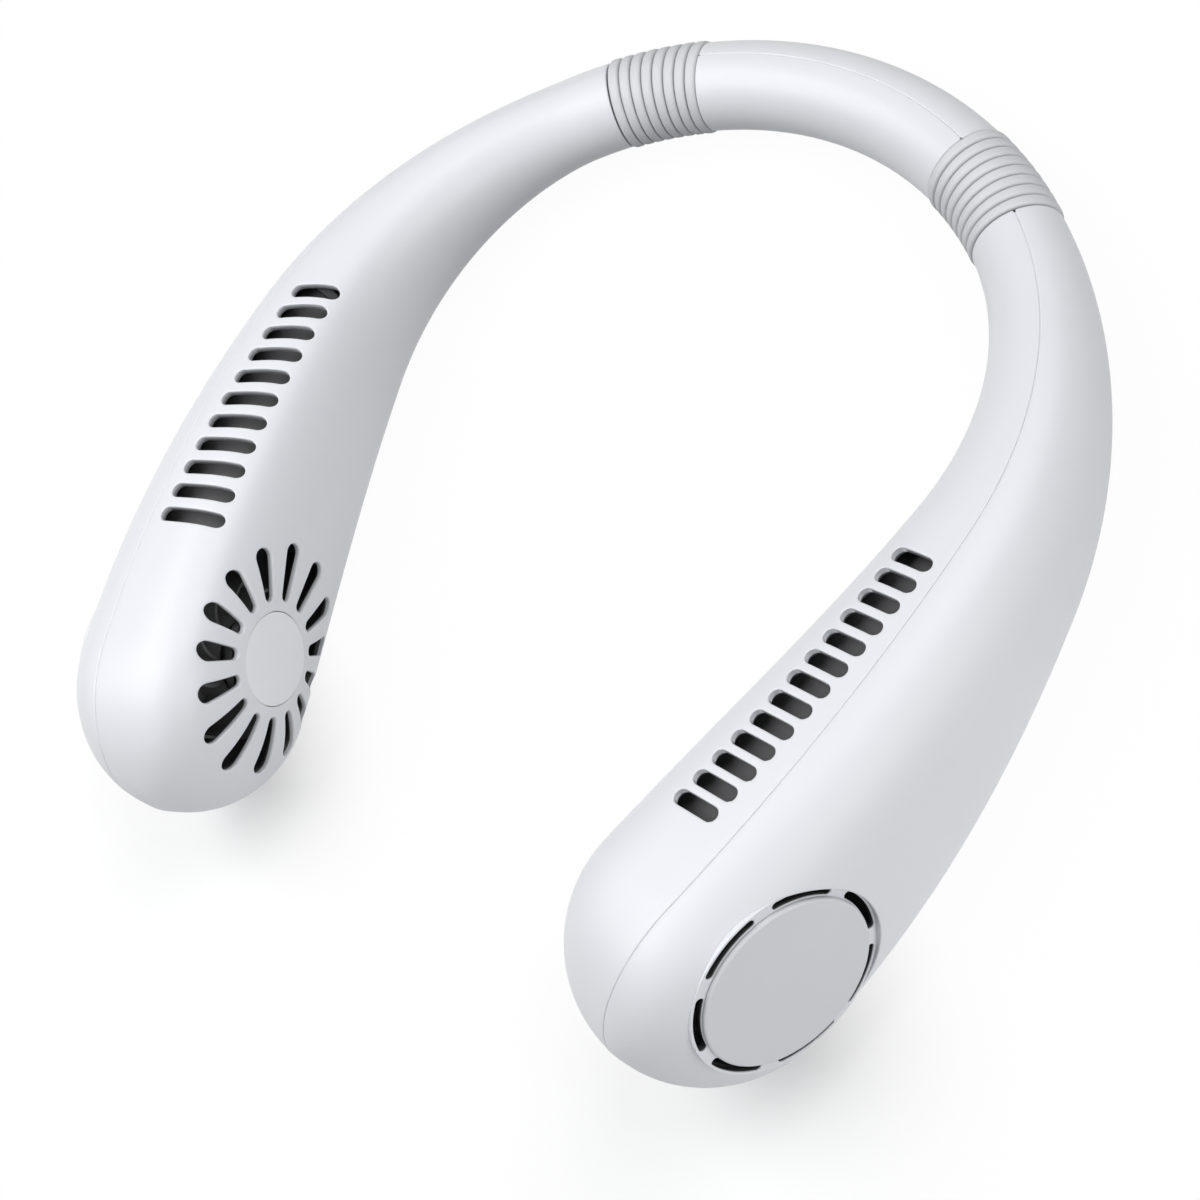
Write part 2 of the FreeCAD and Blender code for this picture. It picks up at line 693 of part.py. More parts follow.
def battery():
    """Round cell lying along the arm, with its raised contact."""
    cell = Part.makeCylinder(BATTERY_RADIUS, BATTERY_LENGTH, Vector(-BATTERY_LENGTH / 2, BATTERY_SHIFT, 0),
                             Vector(1, 0, 0))
    contact = Part.makeCylinder(BATTERY_RADIUS / 3, CRADLE_THICKNESS / 2,
                                Vector(BATTERY_LENGTH / 2, BATTERY_SHIFT, 0), Vector(1, 0, 0))
    return placed(cell.fuse(contact).removeSplitter(), BATTERY_STATION)


def cradle(end_sign, cavity):
    """Plate across the arm that holds one end of the cell, cut to the inside of the shells."""
    place = end_sign * (BATTERY_LENGTH / 2 - CRADLE_INSET)
    plate = Part.makeBox(CRADLE_THICKNESS, AMPLE / 2, AMPLE / 2,
                         Vector(place - CRADLE_THICKNESS / 2, -AMPLE / 4, -AMPLE / 4))
    hole = Part.makeCylinder(BATTERY_RADIUS + CRADLE_CLEARANCE, 2 * CRADLE_THICKNESS,
                             Vector(place - CRADLE_THICKNESS, BATTERY_SHIFT, 0), Vector(1, 0, 0))
    return placed(plate.cut(hole), BATTERY_STATION).common(cavity)


def rounded_slab(length, height, start, end):
    """Block with round ends, lying along the arm and standing outwards."""
    radius = height / 2
    straight = length - height
    box = Part.makeBox(straight, end - start, height, Vector(-straight / 2, start, -radius))
    first = outward_cylinder(radius, start, end, -straight / 2)
    last = outward_cylinder(radius, start, end, straight / 2)
    return box.fuse([first, last]).removeSplitter()


def face_offset(along):
    """Offset of the arm's outer face in the board's frame, at a distance along the board."""
    station = BOARD_STATION + along
    point = local_placement(station).multVec(Vector(0, outer_half_width(station), 0))
    return local_placement(BOARD_STATION).inverse().multVec(point).y


def button_places():
    """Offsets of the button: its flange's inner face and its front face."""
    back = face_offset(0.0) - WALL - BUTTON_FLANGE_GAP - BUTTON_FLANGE_THICKNESS
    return back, face_offset(0.0) + BUTTON_PROUD


def power_button():
    """Rounded key with a flange behind the wall that keeps it in."""
    back, front = button_places()
    flange = rounded_slab(BUTTON_LENGTH + 2 * BUTTON_FLANGE, BUTTON_HEIGHT + 2 * BUTTON_FLANGE, back,
                          back + BUTTON_FLANGE_THICKNESS)
    key = rounded_slab(BUTTON_LENGTH, BUTTON_HEIGHT, back, front)
    return placed(key.fuse(flange).removeSplitter(), BOARD_STATION)


def socket_front():
    """Offset of the mouth of the charging socket."""
    return face_offset(SOCKET_PLACE) - SOCKET_SETBACK


def board_face():
    """Offset of the outer face of the control board, which the charging socket stands on."""
    return socket_front() - SOCKET_DEPTH


def button_switch():
    """Small switch on the board, its plunger just behind the button."""
    body = Part.makeBox(SWITCH_SIDE, SWITCH_HEIGHT, SWITCH_SIDE,
                        Vector(-SWITCH_SIDE / 2, board_face(), -SWITCH_SIDE / 2))
    back, _ = button_places()
    end = back - BUTTON_TRAVEL - BUTTON_CLEARANCE
    plunger = outward_cylinder(SWITCH_PLUNGER_RADIUS, board_face() + SWITCH_HEIGHT, end)
    return placed(body.fuse(plunger).removeSplitter(), BOARD_STATION)


def light_pipe():
    """Clear rod from the board to the outer face, which shows the lamp."""
    rod = outward_cylinder(LAMP_RADIUS, board_face(), face_offset(LAMP_PLACE), LAMP_PLACE)
    return placed(rod, BOARD_STATION)


def usb_socket():
    """Charging socket: a rounded metal shell with a tongue, open outwards, its back on the board."""
    front = socket_front()
    back = front - SOCKET_DEPTH
    shell = rounded_slab(SOCKET_WIDTH, SOCKET_HEIGHT, back, front)
    hollow = rounded_slab(SOCKET_WIDTH - 2 * SOCKET_WALL, SOCKET_HEIGHT - 2 * SOCKET_WALL,
                          back + 2 * SOCKET_WALL, front)
    tongue = Part.makeBox(SOCKET_WIDTH - 2 * SOCKET_HEIGHT, SOCKET_DEPTH * 0.7, SOCKET_TONGUE,
                          Vector(SOCKET_HEIGHT - SOCKET_WIDTH / 2, back, -SOCKET_TONGUE / 2))
    body = shell.cut(hollow).fuse(tongue).removeSplitter()
    body.translate(Vector(SOCKET_PLACE, 0, 0))
    return placed(body, BOARD_STATION)


def control_board():
    """Circuit board along the outer wall of the left arm."""
    board = Part.makeBox(BOARD_LENGTH, BOARD_THICKNESS, BOARD_HEIGHT,
                         Vector(-BOARD_LENGTH / 2, board_face() - BOARD_THICKNESS, -BOARD_HEIGHT / 2))
    return placed(board, BOARD_STATION)


def control_openings():
    """Holes in the left outer shell for the button, lamp and charging socket."""
    reach = face_offset(0.0) + AMPLE / 4
    start = board_face() + SWITCH_HEIGHT
    key = rounded_slab(BUTTON_LENGTH + 2 * BUTTON_CLEARANCE, BUTTON_HEIGHT + 2 * BUTTON_CLEARANCE, start, reach)
    lamp = outward_cylinder(LAMP_RADIUS + LAMP_CLEARANCE, start, reach, LAMP_PLACE)
    socket = rounded_slab(SOCKET_WIDTH + 2 * SOCKET_CLEARANCE, SOCKET_HEIGHT + 2 * SOCKET_CLEARANCE, start, reach)
    socket.translate(Vector(SOCKET_PLACE, 0, 0))
    return [placed(opening, BOARD_STATION) for opening in (key, lamp, socket)]


def board_posts(cavity):
    """Posts on the outer shell that carry the board at its corners."""
    posts = []
    for along in (-BOARD_POST_SPREAD, BOARD_POST_SPREAD):
        for up in (-1, 1):
            lift = up * (BOARD_HEIGHT / 2 - BOARD_POST_RADIUS)
            post = outward_cylinder(BOARD_POST_RADIUS, board_face(), board_face() + AMPLE / 4, along, lift)
            posts.append(placed(post, BOARD_STATION).common(cavity))
    return posts


def arm_shells(side, body, cavity):
    """Inner and outer shell of one arm, drawn on the +X side."""
    arm = ARMS[side]
    wall = body.cut(cavity)
    block = outer_side(side)
    inner = wall.cut(block)
    outer = wall.common(block)
    seat = on_fan(side, motor_seat()).common(body)
    inner = inner.fuse(seat)
    for cutter in air_slots(arm) + [on_fan(side, opening) for opening in inner_openings()]:
        inner = inner.cut(cutter)
    cup = recess_cup(side).common(body)
    outer = outer.fuse(cup)
    for opening in recess_openings(side):
        outer = outer.cut(opening)
    if side == "left":
        outer = outer.fuse(board_posts(cavity))
        for opening in control_openings():
            outer = outer.cut(opening)
    return inner, outer


def arm_pieces(side):
    """Every piece of one side, by name, drawn on the +X side."""
    body = arm_body(side, 0.0)
    cavity = arm_body(side, WALL)
    loose_cavity = arm_body(side, WALL + CRADLE_CLEARANCE)
    inner, outer = arm_shells(side, body, cavity)
    shift = ARMS[side]["sleeve_shift"]
    step = math.degrees(1.0 / NECK_RADIUS)
    web_band = SLEEVE_START - COLLAR_DEPTH * step
    pieces = {
        "arm_inner_shell": inner,
        "arm_outer_shell": outer,
        "cover_disc": cover_disc(side),
        "grille_cap": on_fan(side, grille_cap()),
        "motor": on_fan(side, motor()),
        "motor_bearing": on_fan(side, motor_bearing()),
        "motor_shaft": on_fan(side, motor_shaft()),
        "motor_screws": on_fan(side, motor_screws()),
        "impeller": on_fan(side, impeller()),
        "ribbed_sleeve": moved_on(sleeve(), shift),
        "spring_strip": moved_on(strip(0.0), shift),
        "band_collar": moved_on(collar(SLEEVE_START, 1), shift),
        "arm_collar": moved_on(collar(SLEEVE_END, -1), shift),
        "sleeve_cable": moved_on(cable(web_band, SLEEVE_END + COLLAR_DEPTH * step), shift),
        "battery": battery(),
        "front_cradle": cradle(1, loose_cavity),
        "rear_cradle": cradle(-1, loose_cavity),
    }
    named = {side + "_" + name: shape for name, shape in pieces.items()}
    if side == "left":
        named["power_button"] = power_button()
        named["button_switch"] = button_switch()
        named["light_pipe"] = light_pipe()
        named["usb_socket"] = usb_socket()
        named["control_board"] = control_board()
    return named


def arm_outline(side):
    """Points all over the outside of one arm and round the face of its disc, in the flat drawing frame."""
    points = []
    start = arm_start(side)
    for index in range(OUTLINE_SECTIONS + 1):
        station = start + (ARM_LENGTH - start) * index / OUTLINE_SECTIONS
        points += section_points(side, station, 0.0, 0.0, 1.0, OUTLINE_POINTS)
    for beyond, scale in nose_sections(OUTLINE_SECTIONS // 2, 0.0):
        points += section_points(side, ARM_LENGTH, beyond, 0.0, scale, OUTLINE_POINTS)
    for index in range(OUTLINE_POINTS):
        turn = 2 * math.pi * index / OUTLINE_POINTS
        rim = Vector(math.cos(turn), math.sin(turn), 0) * (DISC_RADIUS - DISC_EDGE)
        points.append(disc_placement(side).multVec(rim))
    if side == "left":
        points = [Vector(-point.x, point.y, point.z) for point in points]
    return points


def lowest_of_band(tilt):
    """Lowest height of the band when the collar is tipped back by an angle in radians."""
    return -NECK_RADIUS * math.sin(tilt) - TUBE_RADIUS


def rest_tilt():
    """Angle at which the band and the arms touch a table together, in radians."""
    outline = arm_outline("left") + arm_outline("right")
    low = 0.0
    high = math.radians(30)
    for _ in range(40):
        middle = (low + high) / 2
        up = Vector(0, -math.sin(middle), math.cos(middle))
        if min(point.dot(up) for point in outline) < lowest_of_band(middle):
            low = middle
        else:
            high = middle
    return low


def drawn_pieces():
    """All pieces in the flat drawing frame."""
    band_outer, band_inner = band_shells()
    step = math.degrees(1.0 / NECK_RADIUS)
    cable_end = SLEEVE_START - COLLAR_DEPTH * step
    shift = ARMS["right"]["sleeve_shift"]
    pieces = {
        "band_outer_shell": moved_on(band_outer, shift),
        "band_inner_shell": moved_on(band_inner, shift),
        "band_cable": moved_on(cable(-cable_end, cable_end), shift),
    }
    pieces.update(arm_pieces("right"))
    for name, shape in arm_pieces("left").items():
        pieces[name] = shape.mirror(Vector(0, 0, 0), Vector(1, 0, 0))
    return pieces


def rest_placement():
    """Placement that tips the flat drawing onto the table, its footprint centred on the origin."""
    tilt = rest_tilt()
    outline = arm_outline("left") + arm_outline("right")
    back = Vector(0, math.cos(tilt), math.sin(tilt))
    width_middle = (min(point.x for point in outline) + max(point.x for point in outline)) / 2
    nose = min(point.dot(back) for point in outline)
    depth_middle = (nose + NECK_RADIUS * math.cos(tilt) + TUBE_RADIUS) / 2
    turn = FreeCAD.Rotation(Vector(1, 0, 0), -math.degrees(tilt))
    return FreeCAD.Placement(Vector(-width_middle, -depth_middle, -lowest_of_band(tilt)), turn)


def main():
    os.makedirs("parts", exist_ok=True)
    place = rest_placement()
    for name, shape in drawn_pieces().items():
        shape.Placement = place.multiply(shape.Placement)
        shape.exportStep("parts/" + name + ".step")


if __name__ == "__main__":
    main()
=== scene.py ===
"""Looks of an electric neck fan, built as an add-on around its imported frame.

The fan's line, sections and openings are worked out in a flat frame in millimetres: the collar lies in the plane
z = 0, the middle of the neck is the origin and the right arm runs on the +x side. to_row() then tips and moves the
points to where the fan lies on the table. The left arm is drawn on the +x side too and mirrored.
"""
import json
import math

import bpy
import numpy as np
from bpy.props import FloatProperty, FloatVectorProperty, PointerProperty
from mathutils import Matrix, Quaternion


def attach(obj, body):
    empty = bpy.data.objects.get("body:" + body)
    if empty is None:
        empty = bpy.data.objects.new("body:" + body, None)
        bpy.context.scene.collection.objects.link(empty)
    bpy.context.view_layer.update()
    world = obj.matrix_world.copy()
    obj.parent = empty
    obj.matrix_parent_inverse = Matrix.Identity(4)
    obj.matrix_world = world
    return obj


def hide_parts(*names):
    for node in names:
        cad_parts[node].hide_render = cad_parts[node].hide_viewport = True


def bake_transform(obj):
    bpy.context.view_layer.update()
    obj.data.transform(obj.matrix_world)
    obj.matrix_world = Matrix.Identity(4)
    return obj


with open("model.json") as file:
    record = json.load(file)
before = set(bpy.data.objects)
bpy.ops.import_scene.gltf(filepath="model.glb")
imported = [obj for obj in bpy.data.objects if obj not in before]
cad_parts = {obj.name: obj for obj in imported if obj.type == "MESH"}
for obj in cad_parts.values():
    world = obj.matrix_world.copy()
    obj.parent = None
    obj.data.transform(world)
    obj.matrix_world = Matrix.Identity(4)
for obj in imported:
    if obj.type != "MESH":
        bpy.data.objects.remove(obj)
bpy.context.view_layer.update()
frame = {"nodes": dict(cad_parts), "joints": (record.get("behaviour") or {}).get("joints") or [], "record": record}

bl_info = {
    "name": "Neck fan looks",
    "version": (1, 0, 0),
    "blender": (4, 5, 0),
    "location": "View3D > Sidebar > Neck fan",
    "description": "Builds the shells, sleeves, covers, finishes and stage of an electric neck fan",
    "category": "Add Mesh",
}

# The line of the collar: one arc round the neck, then a flatter one along each arm. Lengths are in mm, and angles
# are in degrees, apart from the turns of these two arcs.
NECK_RADIUS = 89.0
BACK_TURN = math.radians(93.7)
ARM_RADIUS = 368.0
FRONT_TURN = math.radians(13.8)
BACK_LENGTH = NECK_RADIUS * BACK_TURN
ARM_LENGTH = BACK_LENGTH + ARM_RADIUS * FRONT_TURN
ARM_HUB = np.array([math.sin(BACK_TURN), math.cos(BACK_TURN), 0.0]) * (NECK_RADIUS - ARM_RADIUS)
MM_PER_METRE = 1000

# The section: a round tube that swells into a squarish bulb with a rounded nose.
ROUND_POWER = 2.0
TUBE_RADIUS = 10.0
BULB_HALF_WIDTH = 21.65
BULB_HALF_HEIGHT = 26.7
BULB_SQUARENESS = 3.3
BULB_SPLAY = 0.088
BULB_NOSE = 28.6
BULB_FLATTENING = 0.1
BULB_ONSET = 3
GROWTH_START = 62.0
GROWTH_WIDE = 0.94
GROWTH_TALL = 0.7
WALL = 1.8

# The ribbed sleeves between the band and the arms, and what runs through them.
SLEEVE_START = 23.4
SLEEVE_END = 38.0
SLEEVE_GAP = 0.3
SLEEVE_BORE = 8.5
GROOVE_RADIUS = 9.55
RIB_RADIUS = 10.45
RIB_COUNT = 8
RIB_POWER = 4.5
COLLAR_DEPTH = 6.0
STRIP_THICKNESS = 0.8
STRIP_HEIGHT = 8.0
STRIP_OVERRUN = 1.2
STRIP_SQUARENESS = 14.0
CABLE_RADIUS = 1.1
CABLE_DROP = 5.8
BAND_SEAM = 1.5

# Each arm: its row of air slots from the first to the last, its parting line, how far its bulb is rolled outer face
# up, and how far its sleeve is moved on round the neck.
ARMS = {
    "left": {"slots": 11, "width": 3.5, "seam": 5.5, "roll": -6.0, "sleeve_shift": -5.3,
             "first": {"station": 140.1, "middle": -5.0, "length": 11.0, "turn": -22.0},
             "last": {"station": 203.1, "middle": -5.8, "length": 16.8, "turn": 0.0}},
    "right": {"slots": 13, "width": 3.2, "seam": 1.5, "roll": 7.0, "sleeve_shift": 5.3,
              "first": {"station": 155.5, "middle": -5.4, "length": 9.0, "turn": 0.0},
              "last": {"station": 217.3, "middle": -9.0, "length": 10.6, "turn": 8.0}},
}

# The blower's axis, the sunburst grille and the cap on the inner face.
FAN_STATION = ARM_LENGTH - 7.9
FAN_RISE = 0.4
FAN_LEAN = 4.0
GRILLE_COUNT = 15
GRILLE_NARROW = 1.3
GRILLE_WIDE = 2.2
GRILLE_INNER = 14.4
GRILLE_WALL = 1.2
GRILLE_REACH_ALONG = 26.6
GRILLE_REACH_UP = 23.0
CAP_RADIUS = 10.6
CAP_CLEARANCE = 0.12
CAP_SET_IN = 0.25
CAP_DEPTH = 2.4
CAP_PLATE = 1.0
CAP_RIM = 1.1
SEAT_RADIUS = 12.6
SEAT_EDGE = 0.2

# The cover disc, raised over a sunk floor on the outer face. The floor is a flat ring with arc-shaped slots.
DISC_STATION = ARM_LENGTH - 4.05
DISC_OFFSET = 18.15
DISC_RISE = 0.5
DISC_LEAN = 5.0
DISC_RADIUS = 18.64
DISC_FOOT_RADIUS = 16.2
DISC_PLATE = 1.0
RECESS_RADIUS = 20.9
RECESS_FLOOR = 1.1
RECESS_REACH = 6.6
RECESS_OVERLAP = 0.15
RING_COUNT = 7
RING_FIRST = 32.0
RING_BRIDGE = 12.0
RING_INNER = 18.8
RING_OUTER = 20.5
RING_LIP = 0.15
RING_MARGIN = 0.4
FLOOR_INNER = DISC_FOOT_RADIUS - 2.0
FLOOR_LIP = 0.1

# The controls on the left arm's outer face. Each hole has its place along the arm, its length and its height.
BOARD_STATION = 166.0
BUTTON_LENGTH = 13.0
BUTTON_HEIGHT = 6.0
BUTTON_CLEARANCE = 0.3
BUTTON_PROUD = 0.9
BUTTON_FLANGE = 1.0
BUTTON_FLANGE_GAP = 1.2
LAMP_PLACE = 13.0
LAMP_RADIUS = 1.3
SOCKET_PLACE = -17.0
SOCKET_LENGTH = 9.24
SOCKET_HEIGHT = 3.5
CONTROL_HOLES = (
    (0.0, BUTTON_LENGTH + 2 * BUTTON_CLEARANCE, BUTTON_HEIGHT + 2 * BUTTON_CLEARANCE),
    (LAMP_PLACE, 2 * LAMP_RADIUS, 2 * LAMP_RADIUS),
    (SOCKET_PLACE, SOCKET_LENGTH, SOCKET_HEIGHT),
)

# The floor of the air duct under the slots, moulded on the inner shell: angles round the section, depth under the
# skin, and the share of the wall to which the depth eases up along one edge.
DUCT_FIRST = 60.0
DUCT_LAST = 142.0
DUCT_EASE = 24.0
DUCT_DEPTH = 5.5
DUCT_EDGE = WALL * 0.7
DUCT_PLATE = 0.9
DUCT_OVERRUN = 9.0

# The photograph's camera in the row frame: place in metres, turn as a quaternion, lens in mm on a 36 mm sensor.
CAMERA_PLACE = (0.23901, -0.06987, 0.38394)
CAMERA_TURN = (0.939836, 0.106205, 0.260013, 0.194479)
CAMERA_LENS = 61.0
SENSOR_WIDTH = 36.0
CLIP_START = 0.01

# The paper floor: where it shows the bulbs' shadows most strongly, how much it glows there and elsewhere, and what it
# throws back on the object in front and behind. Lengths in metres.
FLOOR_HALF = 3.0
SHADOW_PLACES = ((-0.088, -0.125, 0.0), (0.078, -0.128, 0.0))
SHADOW_NEAR = 0.02
SHADOW_FAR = 0.075
SHADOW_GLOW = 0.25
PAPER_GLOW = 0.96
PAPER_GREY = 0.97
BOUNCE_GREY = 0.65
BACK_BOUNCE_GREY = 0.08
BOUNCE_FRONT = -0.02
BOUNCE_BACK = 0.05

# The lamps' places and sizes in metres, and the tints of the room.
LAMPS = {
    "key": ((-0.32, -0.14, 0.71), 0.7),
    "fill": ((1.1, -0.06, 0.38), 0.9),
    "back": ((0.3, 0.5, 0.8), 0.7),
}
ROOM_COLOUR = (0.95, 0.97, 1.0, 1.0)
WHITE = (1.0, 1.0, 1.0, 1.0)

# How finely the surfaces are drawn: lengths in mm, counts, and the small steps by which slopes are taken.
GRID_STEP = 0.86
ARM_COLUMNS = 208
BAND_COLUMNS = 160
RING_ROWS = 26
RING_COLUMNS = 360
DUCT_ROWS = 70
DUCT_COLUMNS = 40
TURNED_COLUMNS = 160
CORNER_STEPS = 6
LIP_STEPS = 4
RIB_STEPS = 32
SLEEVE_COLUMNS = 144
BAR_ROWS = 60
BAR_COLUMNS = 48
HALVINGS = 14
STATION_STEP = 2.0e-3
ANGLE_STEP = 2.0e-4
SLOPE_STEP = 1.0e-3
LEAST_STEEPNESS = 0.09
LEAST_SLANT = 0.35
POLE_GAP = 0.02
FAR = 1.0e3

# How deep the fine grain of the finishes is, in metres, and the sockets of a Mix node that mixes colours.
GRAIN_DEPTH = 0.00004
TRACK_DEPTH = 0.00005
MIX_SHARE = 0
MIX_FIRST = 6
MIX_SECOND = 7
MIX_RESULT = 2


def setting(label, description, default, unit="NONE"):
    """A number that a user may change. Lengths are in metres."""
    return FloatProperty(name=label, description=description, default=default, unit=unit)


def colour_setting(label, description, default):
    """A colour that a user may change."""
    return FloatVectorProperty(name=label, description=description, default=default, subtype="COLOR")


class FanShape(bpy.types.PropertyGroup):
    """Roundings of the moulded pieces."""

    slot_lip: setting("Slot lip", "Rounding of the air slots' edges", 0.0003, "LENGTH")
    grille_lip: setting("Grille lip", "Rounding of the grille openings' edges", 0.00045, "LENGTH")
    recess_lip: setting("Recess lip", "Rounding of the edge round the cover disc", 0.0003, "LENGTH")
    seam_lip: setting("Seam lip", "Rounding of the shells' edges along the parting line", 0.0003, "LENGTH")
    end_lip: setting("End lip", "Rounding of the shells' ends at the sleeves", 0.0004, "LENGTH")
    disc_edge: setting("Disc edge", "Rounding of the cover disc's edge", 0.0007, "LENGTH")


class FanColours(bpy.types.PropertyGroup):
    """Colours of the finishes."""

    shell: colour_setting("Shell", "White plastic of the shells", (0.80, 0.815, 0.85))
    disc: colour_setting("Disc", "Grey plastic of the cover discs", (0.71, 0.72, 0.745))
    cap: colour_setting("Cap", "Light grey plastic of the grille caps", (0.90, 0.91, 0.93))
    sleeve: colour_setting("Sleeve", "Silicone of the ribbed sleeves", (0.71, 0.72, 0.745))
    # Painted shade, not the plastic's colour: the dark grey of the shells' inner faces, duct floor and motor seat.
    inside: colour_setting("Inside", "Inner faces of the shells", (0.15, 0.15, 0.155))


class FanStage(bpy.types.PropertyGroup):
    """Strengths of the studio light."""

    key_power: setting("Key lamp", "Power of the lamp above the left arm", 5.1, "POWER")
    fill_power: setting("Fill lamp", "Power of the low lamp at the right side", 5.6, "POWER")
    back_power: setting("Back lamp", "Power of the lamp behind the band", 3.1, "POWER")
    room_light: setting("Room light", "Strength of the even light from all around", 0.15)


def line_frame(station):
    """Centre, forward and outward directions of the line: a point on a circle round the neck, then on a flatter one
    that touches it. The line's turn is the length along each arc over its radius."""
    station = np.asarray(station, float)
    back = np.minimum(station, BACK_LENGTH) / NECK_RADIUS
    turn = back + np.maximum(station - BACK_LENGTH, 0.0) / ARM_RADIUS
    flat = np.zeros_like(turn)
    along = np.stack([np.cos(turn), -np.sin(turn), flat], -1)
    outwards = np.stack([np.sin(turn), np.cos(turn), flat], -1)
    on_neck = (station <= BACK_LENGTH)[..., None]
    centre = np.where(on_neck, outwards * NECK_RADIUS, ARM_HUB + outwards * ARM_RADIUS)
    return centre, along, outwards


def line_coordinates(points):
    """Station and outward offset of points: the turn round the centre of the arc they belong to, and the distance
    from that centre less the arc's radius. Past the arm's end the outward offset is taken straight on."""
    away = points - ARM_HUB
    turn_back = np.arctan2(points[..., 0], points[..., 1])
    turn_front = np.arctan2(away[..., 0], away[..., 1])
    on_neck = (turn_back * NECK_RADIUS <= BACK_LENGTH) & (points[..., 1] > -NECK_RADIUS / 2)
    on_arm = BACK_LENGTH + (turn_front - BACK_TURN) * ARM_RADIUS
    station = np.where(on_neck, turn_back * NECK_RADIUS, on_arm)
    back_offset = np.hypot(points[..., 0], points[..., 1]) - NECK_RADIUS
    front_offset = np.hypot(away[..., 0], away[..., 1]) - ARM_RADIUS
    offset = np.where(on_neck, back_offset, front_offset)
    centre, _, outwards = line_frame(ARM_LENGTH)
    return station, np.where(station > ARM_LENGTH, (points - centre) @ outwards, offset)


def eased(share):
    """Smooth step: share squared times three less twice the share."""
    return share * share * (3 - 2 * share)


def growth(station):
    """Share of the way from the start of the swelling to the bulb."""
    return np.clip((station - GROWTH_START) / (ARM_LENGTH - GROWTH_START), 0.0, 1.0)


def bulb_share(station):
    """How far the bulb's roll and flatter outer side have come in: a power of the eased growth."""
    return eased(growth(station)) ** BULB_ONSET


def section_sizes(station):
    """Half width, half height, power and splay of the section, which grow by smooth steps along the arm."""
    share = growth(station)
    tall = eased(share ** GROWTH_TALL)
    half_width = TUBE_RADIUS + (BULB_HALF_WIDTH - TUBE_RADIUS) * eased(share ** GROWTH_WIDE)
    half_height = TUBE_RADIUS + (BULB_HALF_HEIGHT - TUBE_RADIUS) * tall
    power = ROUND_POWER + (BULB_SQUARENESS - ROUND_POWER) * tall * tall
    return half_width, half_height, power, BULB_SPLAY * eased(share)


def outer_half_width(station):
    """Half width of the section on its outer side, less by a share that comes in with the bulb."""
    return section_sizes(station)[0] * (1 - BULB_FLATTENING * bulb_share(station))


def arm_skin(side):
    """Outer face of an arm as a function of station and angle: at each station a super-ellipse in polar form, one
    over the power mean of the cosine over the half width and the sine over the half height, sheared by the splay and
    rolled. Past the arm's end the station is an arc length round the nose, where the section shrinks by the cosine
    while it moves on by the sine."""
    roll = math.radians(ARMS[side]["roll"])

    def skin(station, angle):
        at = np.minimum(station, ARM_LENGTH)
        nose = np.maximum(station - ARM_LENGTH, 0.0) / BULB_NOSE
        centre, along, outwards = line_frame(at)
        half_width, half_height, power, splay = section_sizes(at)
        half_width = np.where(np.cos(angle) > 0, outer_half_width(at), half_width)
        wide = np.abs(np.cos(angle) / half_width) ** power
        tall = np.abs(np.sin(angle) / half_height) ** power
        reach = (wide + tall) ** (-1 / power) * np.cos(nose)
        rise = reach * np.sin(angle)
        across = reach * np.cos(angle) - splay * rise
        turn = roll * bulb_share(at)
        out = across * np.cos(turn) - rise * np.sin(turn)
        points = centre + along * (BULB_NOSE * np.sin(nose))[..., None] + outwards * out[..., None]
        points[..., 2] += across * np.sin(turn) + rise * np.cos(turn)
        return points

    return skin


def tube_skin(station, angle):
    """Outer face of the band: a circle of the tube's radius carried along the arc round the neck."""
    centre, _, outwards = line_frame(station)
    points = centre + outwards * (TUBE_RADIUS * np.cos(angle))[..., None]
    points[..., 2] += TUBE_RADIUS * np.sin(angle)
    return points


def skin_normal(skin, first, second, last):
    """Outward normal of a skin: the cross product of its two slopes, taken by small differences no further on than
    the last station."""
    first = np.minimum(first, last)
    ahead = skin(first + STATION_STEP, second) - skin(first - STATION_STEP, second)
    round_about = skin(first, second + ANGLE_STEP) - skin(first, second - ANGLE_STEP)
    normal = np.cross(round_about, ahead)
    return normal / np.linalg.norm(normal, axis=-1, keepdims=True)


def tipped(degrees):
    """Turn about the first axis by an angle."""
    angle = math.radians(degrees)
    cosine, sine = math.cos(angle), math.sin(angle)
    return np.array([[1, 0, 0], [0, cosine, -sine], [0, sine, cosine]])


class Place:
    """A frame in the arm: an origin and three directions, with the way there and back."""

    def __init__(self, station, lift=(0.0, 0.0, 0.0), lean=0.0, roll=0.0):
        centre, along, outwards = line_frame(station)
        base = np.stack([along, outwards, np.array([0.0, 0.0, 1.0])], 1) @ tipped(roll)
        self.origin = centre + base @ np.array(lift)
        self.axes = base @ tipped(lean)

    def local(self, points):
        """Coordinates of points along the three directions."""
        return (points - self.origin) @ self.axes

    def world(self, points):
        """Points whose coordinates along the three directions are given."""
        return points @ self.axes.T + self.origin


def bulb_places(station, lift, lean):
    """For each side a frame that is rolled with its bulb."""
    share = float(bulb_share(station))
    return {side: Place(station, lift, lean, arm["roll"] * share) for side, arm in ARMS.items()}


FAN_PLACES = bulb_places(FAN_STATION, (0.0, 0.0, FAN_RISE), FAN_LEAN)
DISC_PLACES = bulb_places(DISC_STATION, (0.0, DISC_OFFSET, DISC_RISE), DISC_LEAN - 90)
BOARD_PLACE = Place(BOARD_STATION)
CAP_FACE = CAP_SET_IN - float(section_sizes(FAN_STATION)[0])
CAP_BACK = CAP_FACE + CAP_DEPTH


class Opening:
    """An edge of a shell: its gap function gives the distance of points to the edge, above zero on the material. Its
    walls run along inward, or straight into the skin where that is None, down to a floor plane where one is given, or
    for a depth, behind which they flare."""

    def __init__(self, gap, lip, inward=None, floor=None, depth=None):
        self.gap = gap
        self.lip = lip
        self.inward = inward
        self.floor = floor
        self.depth = depth


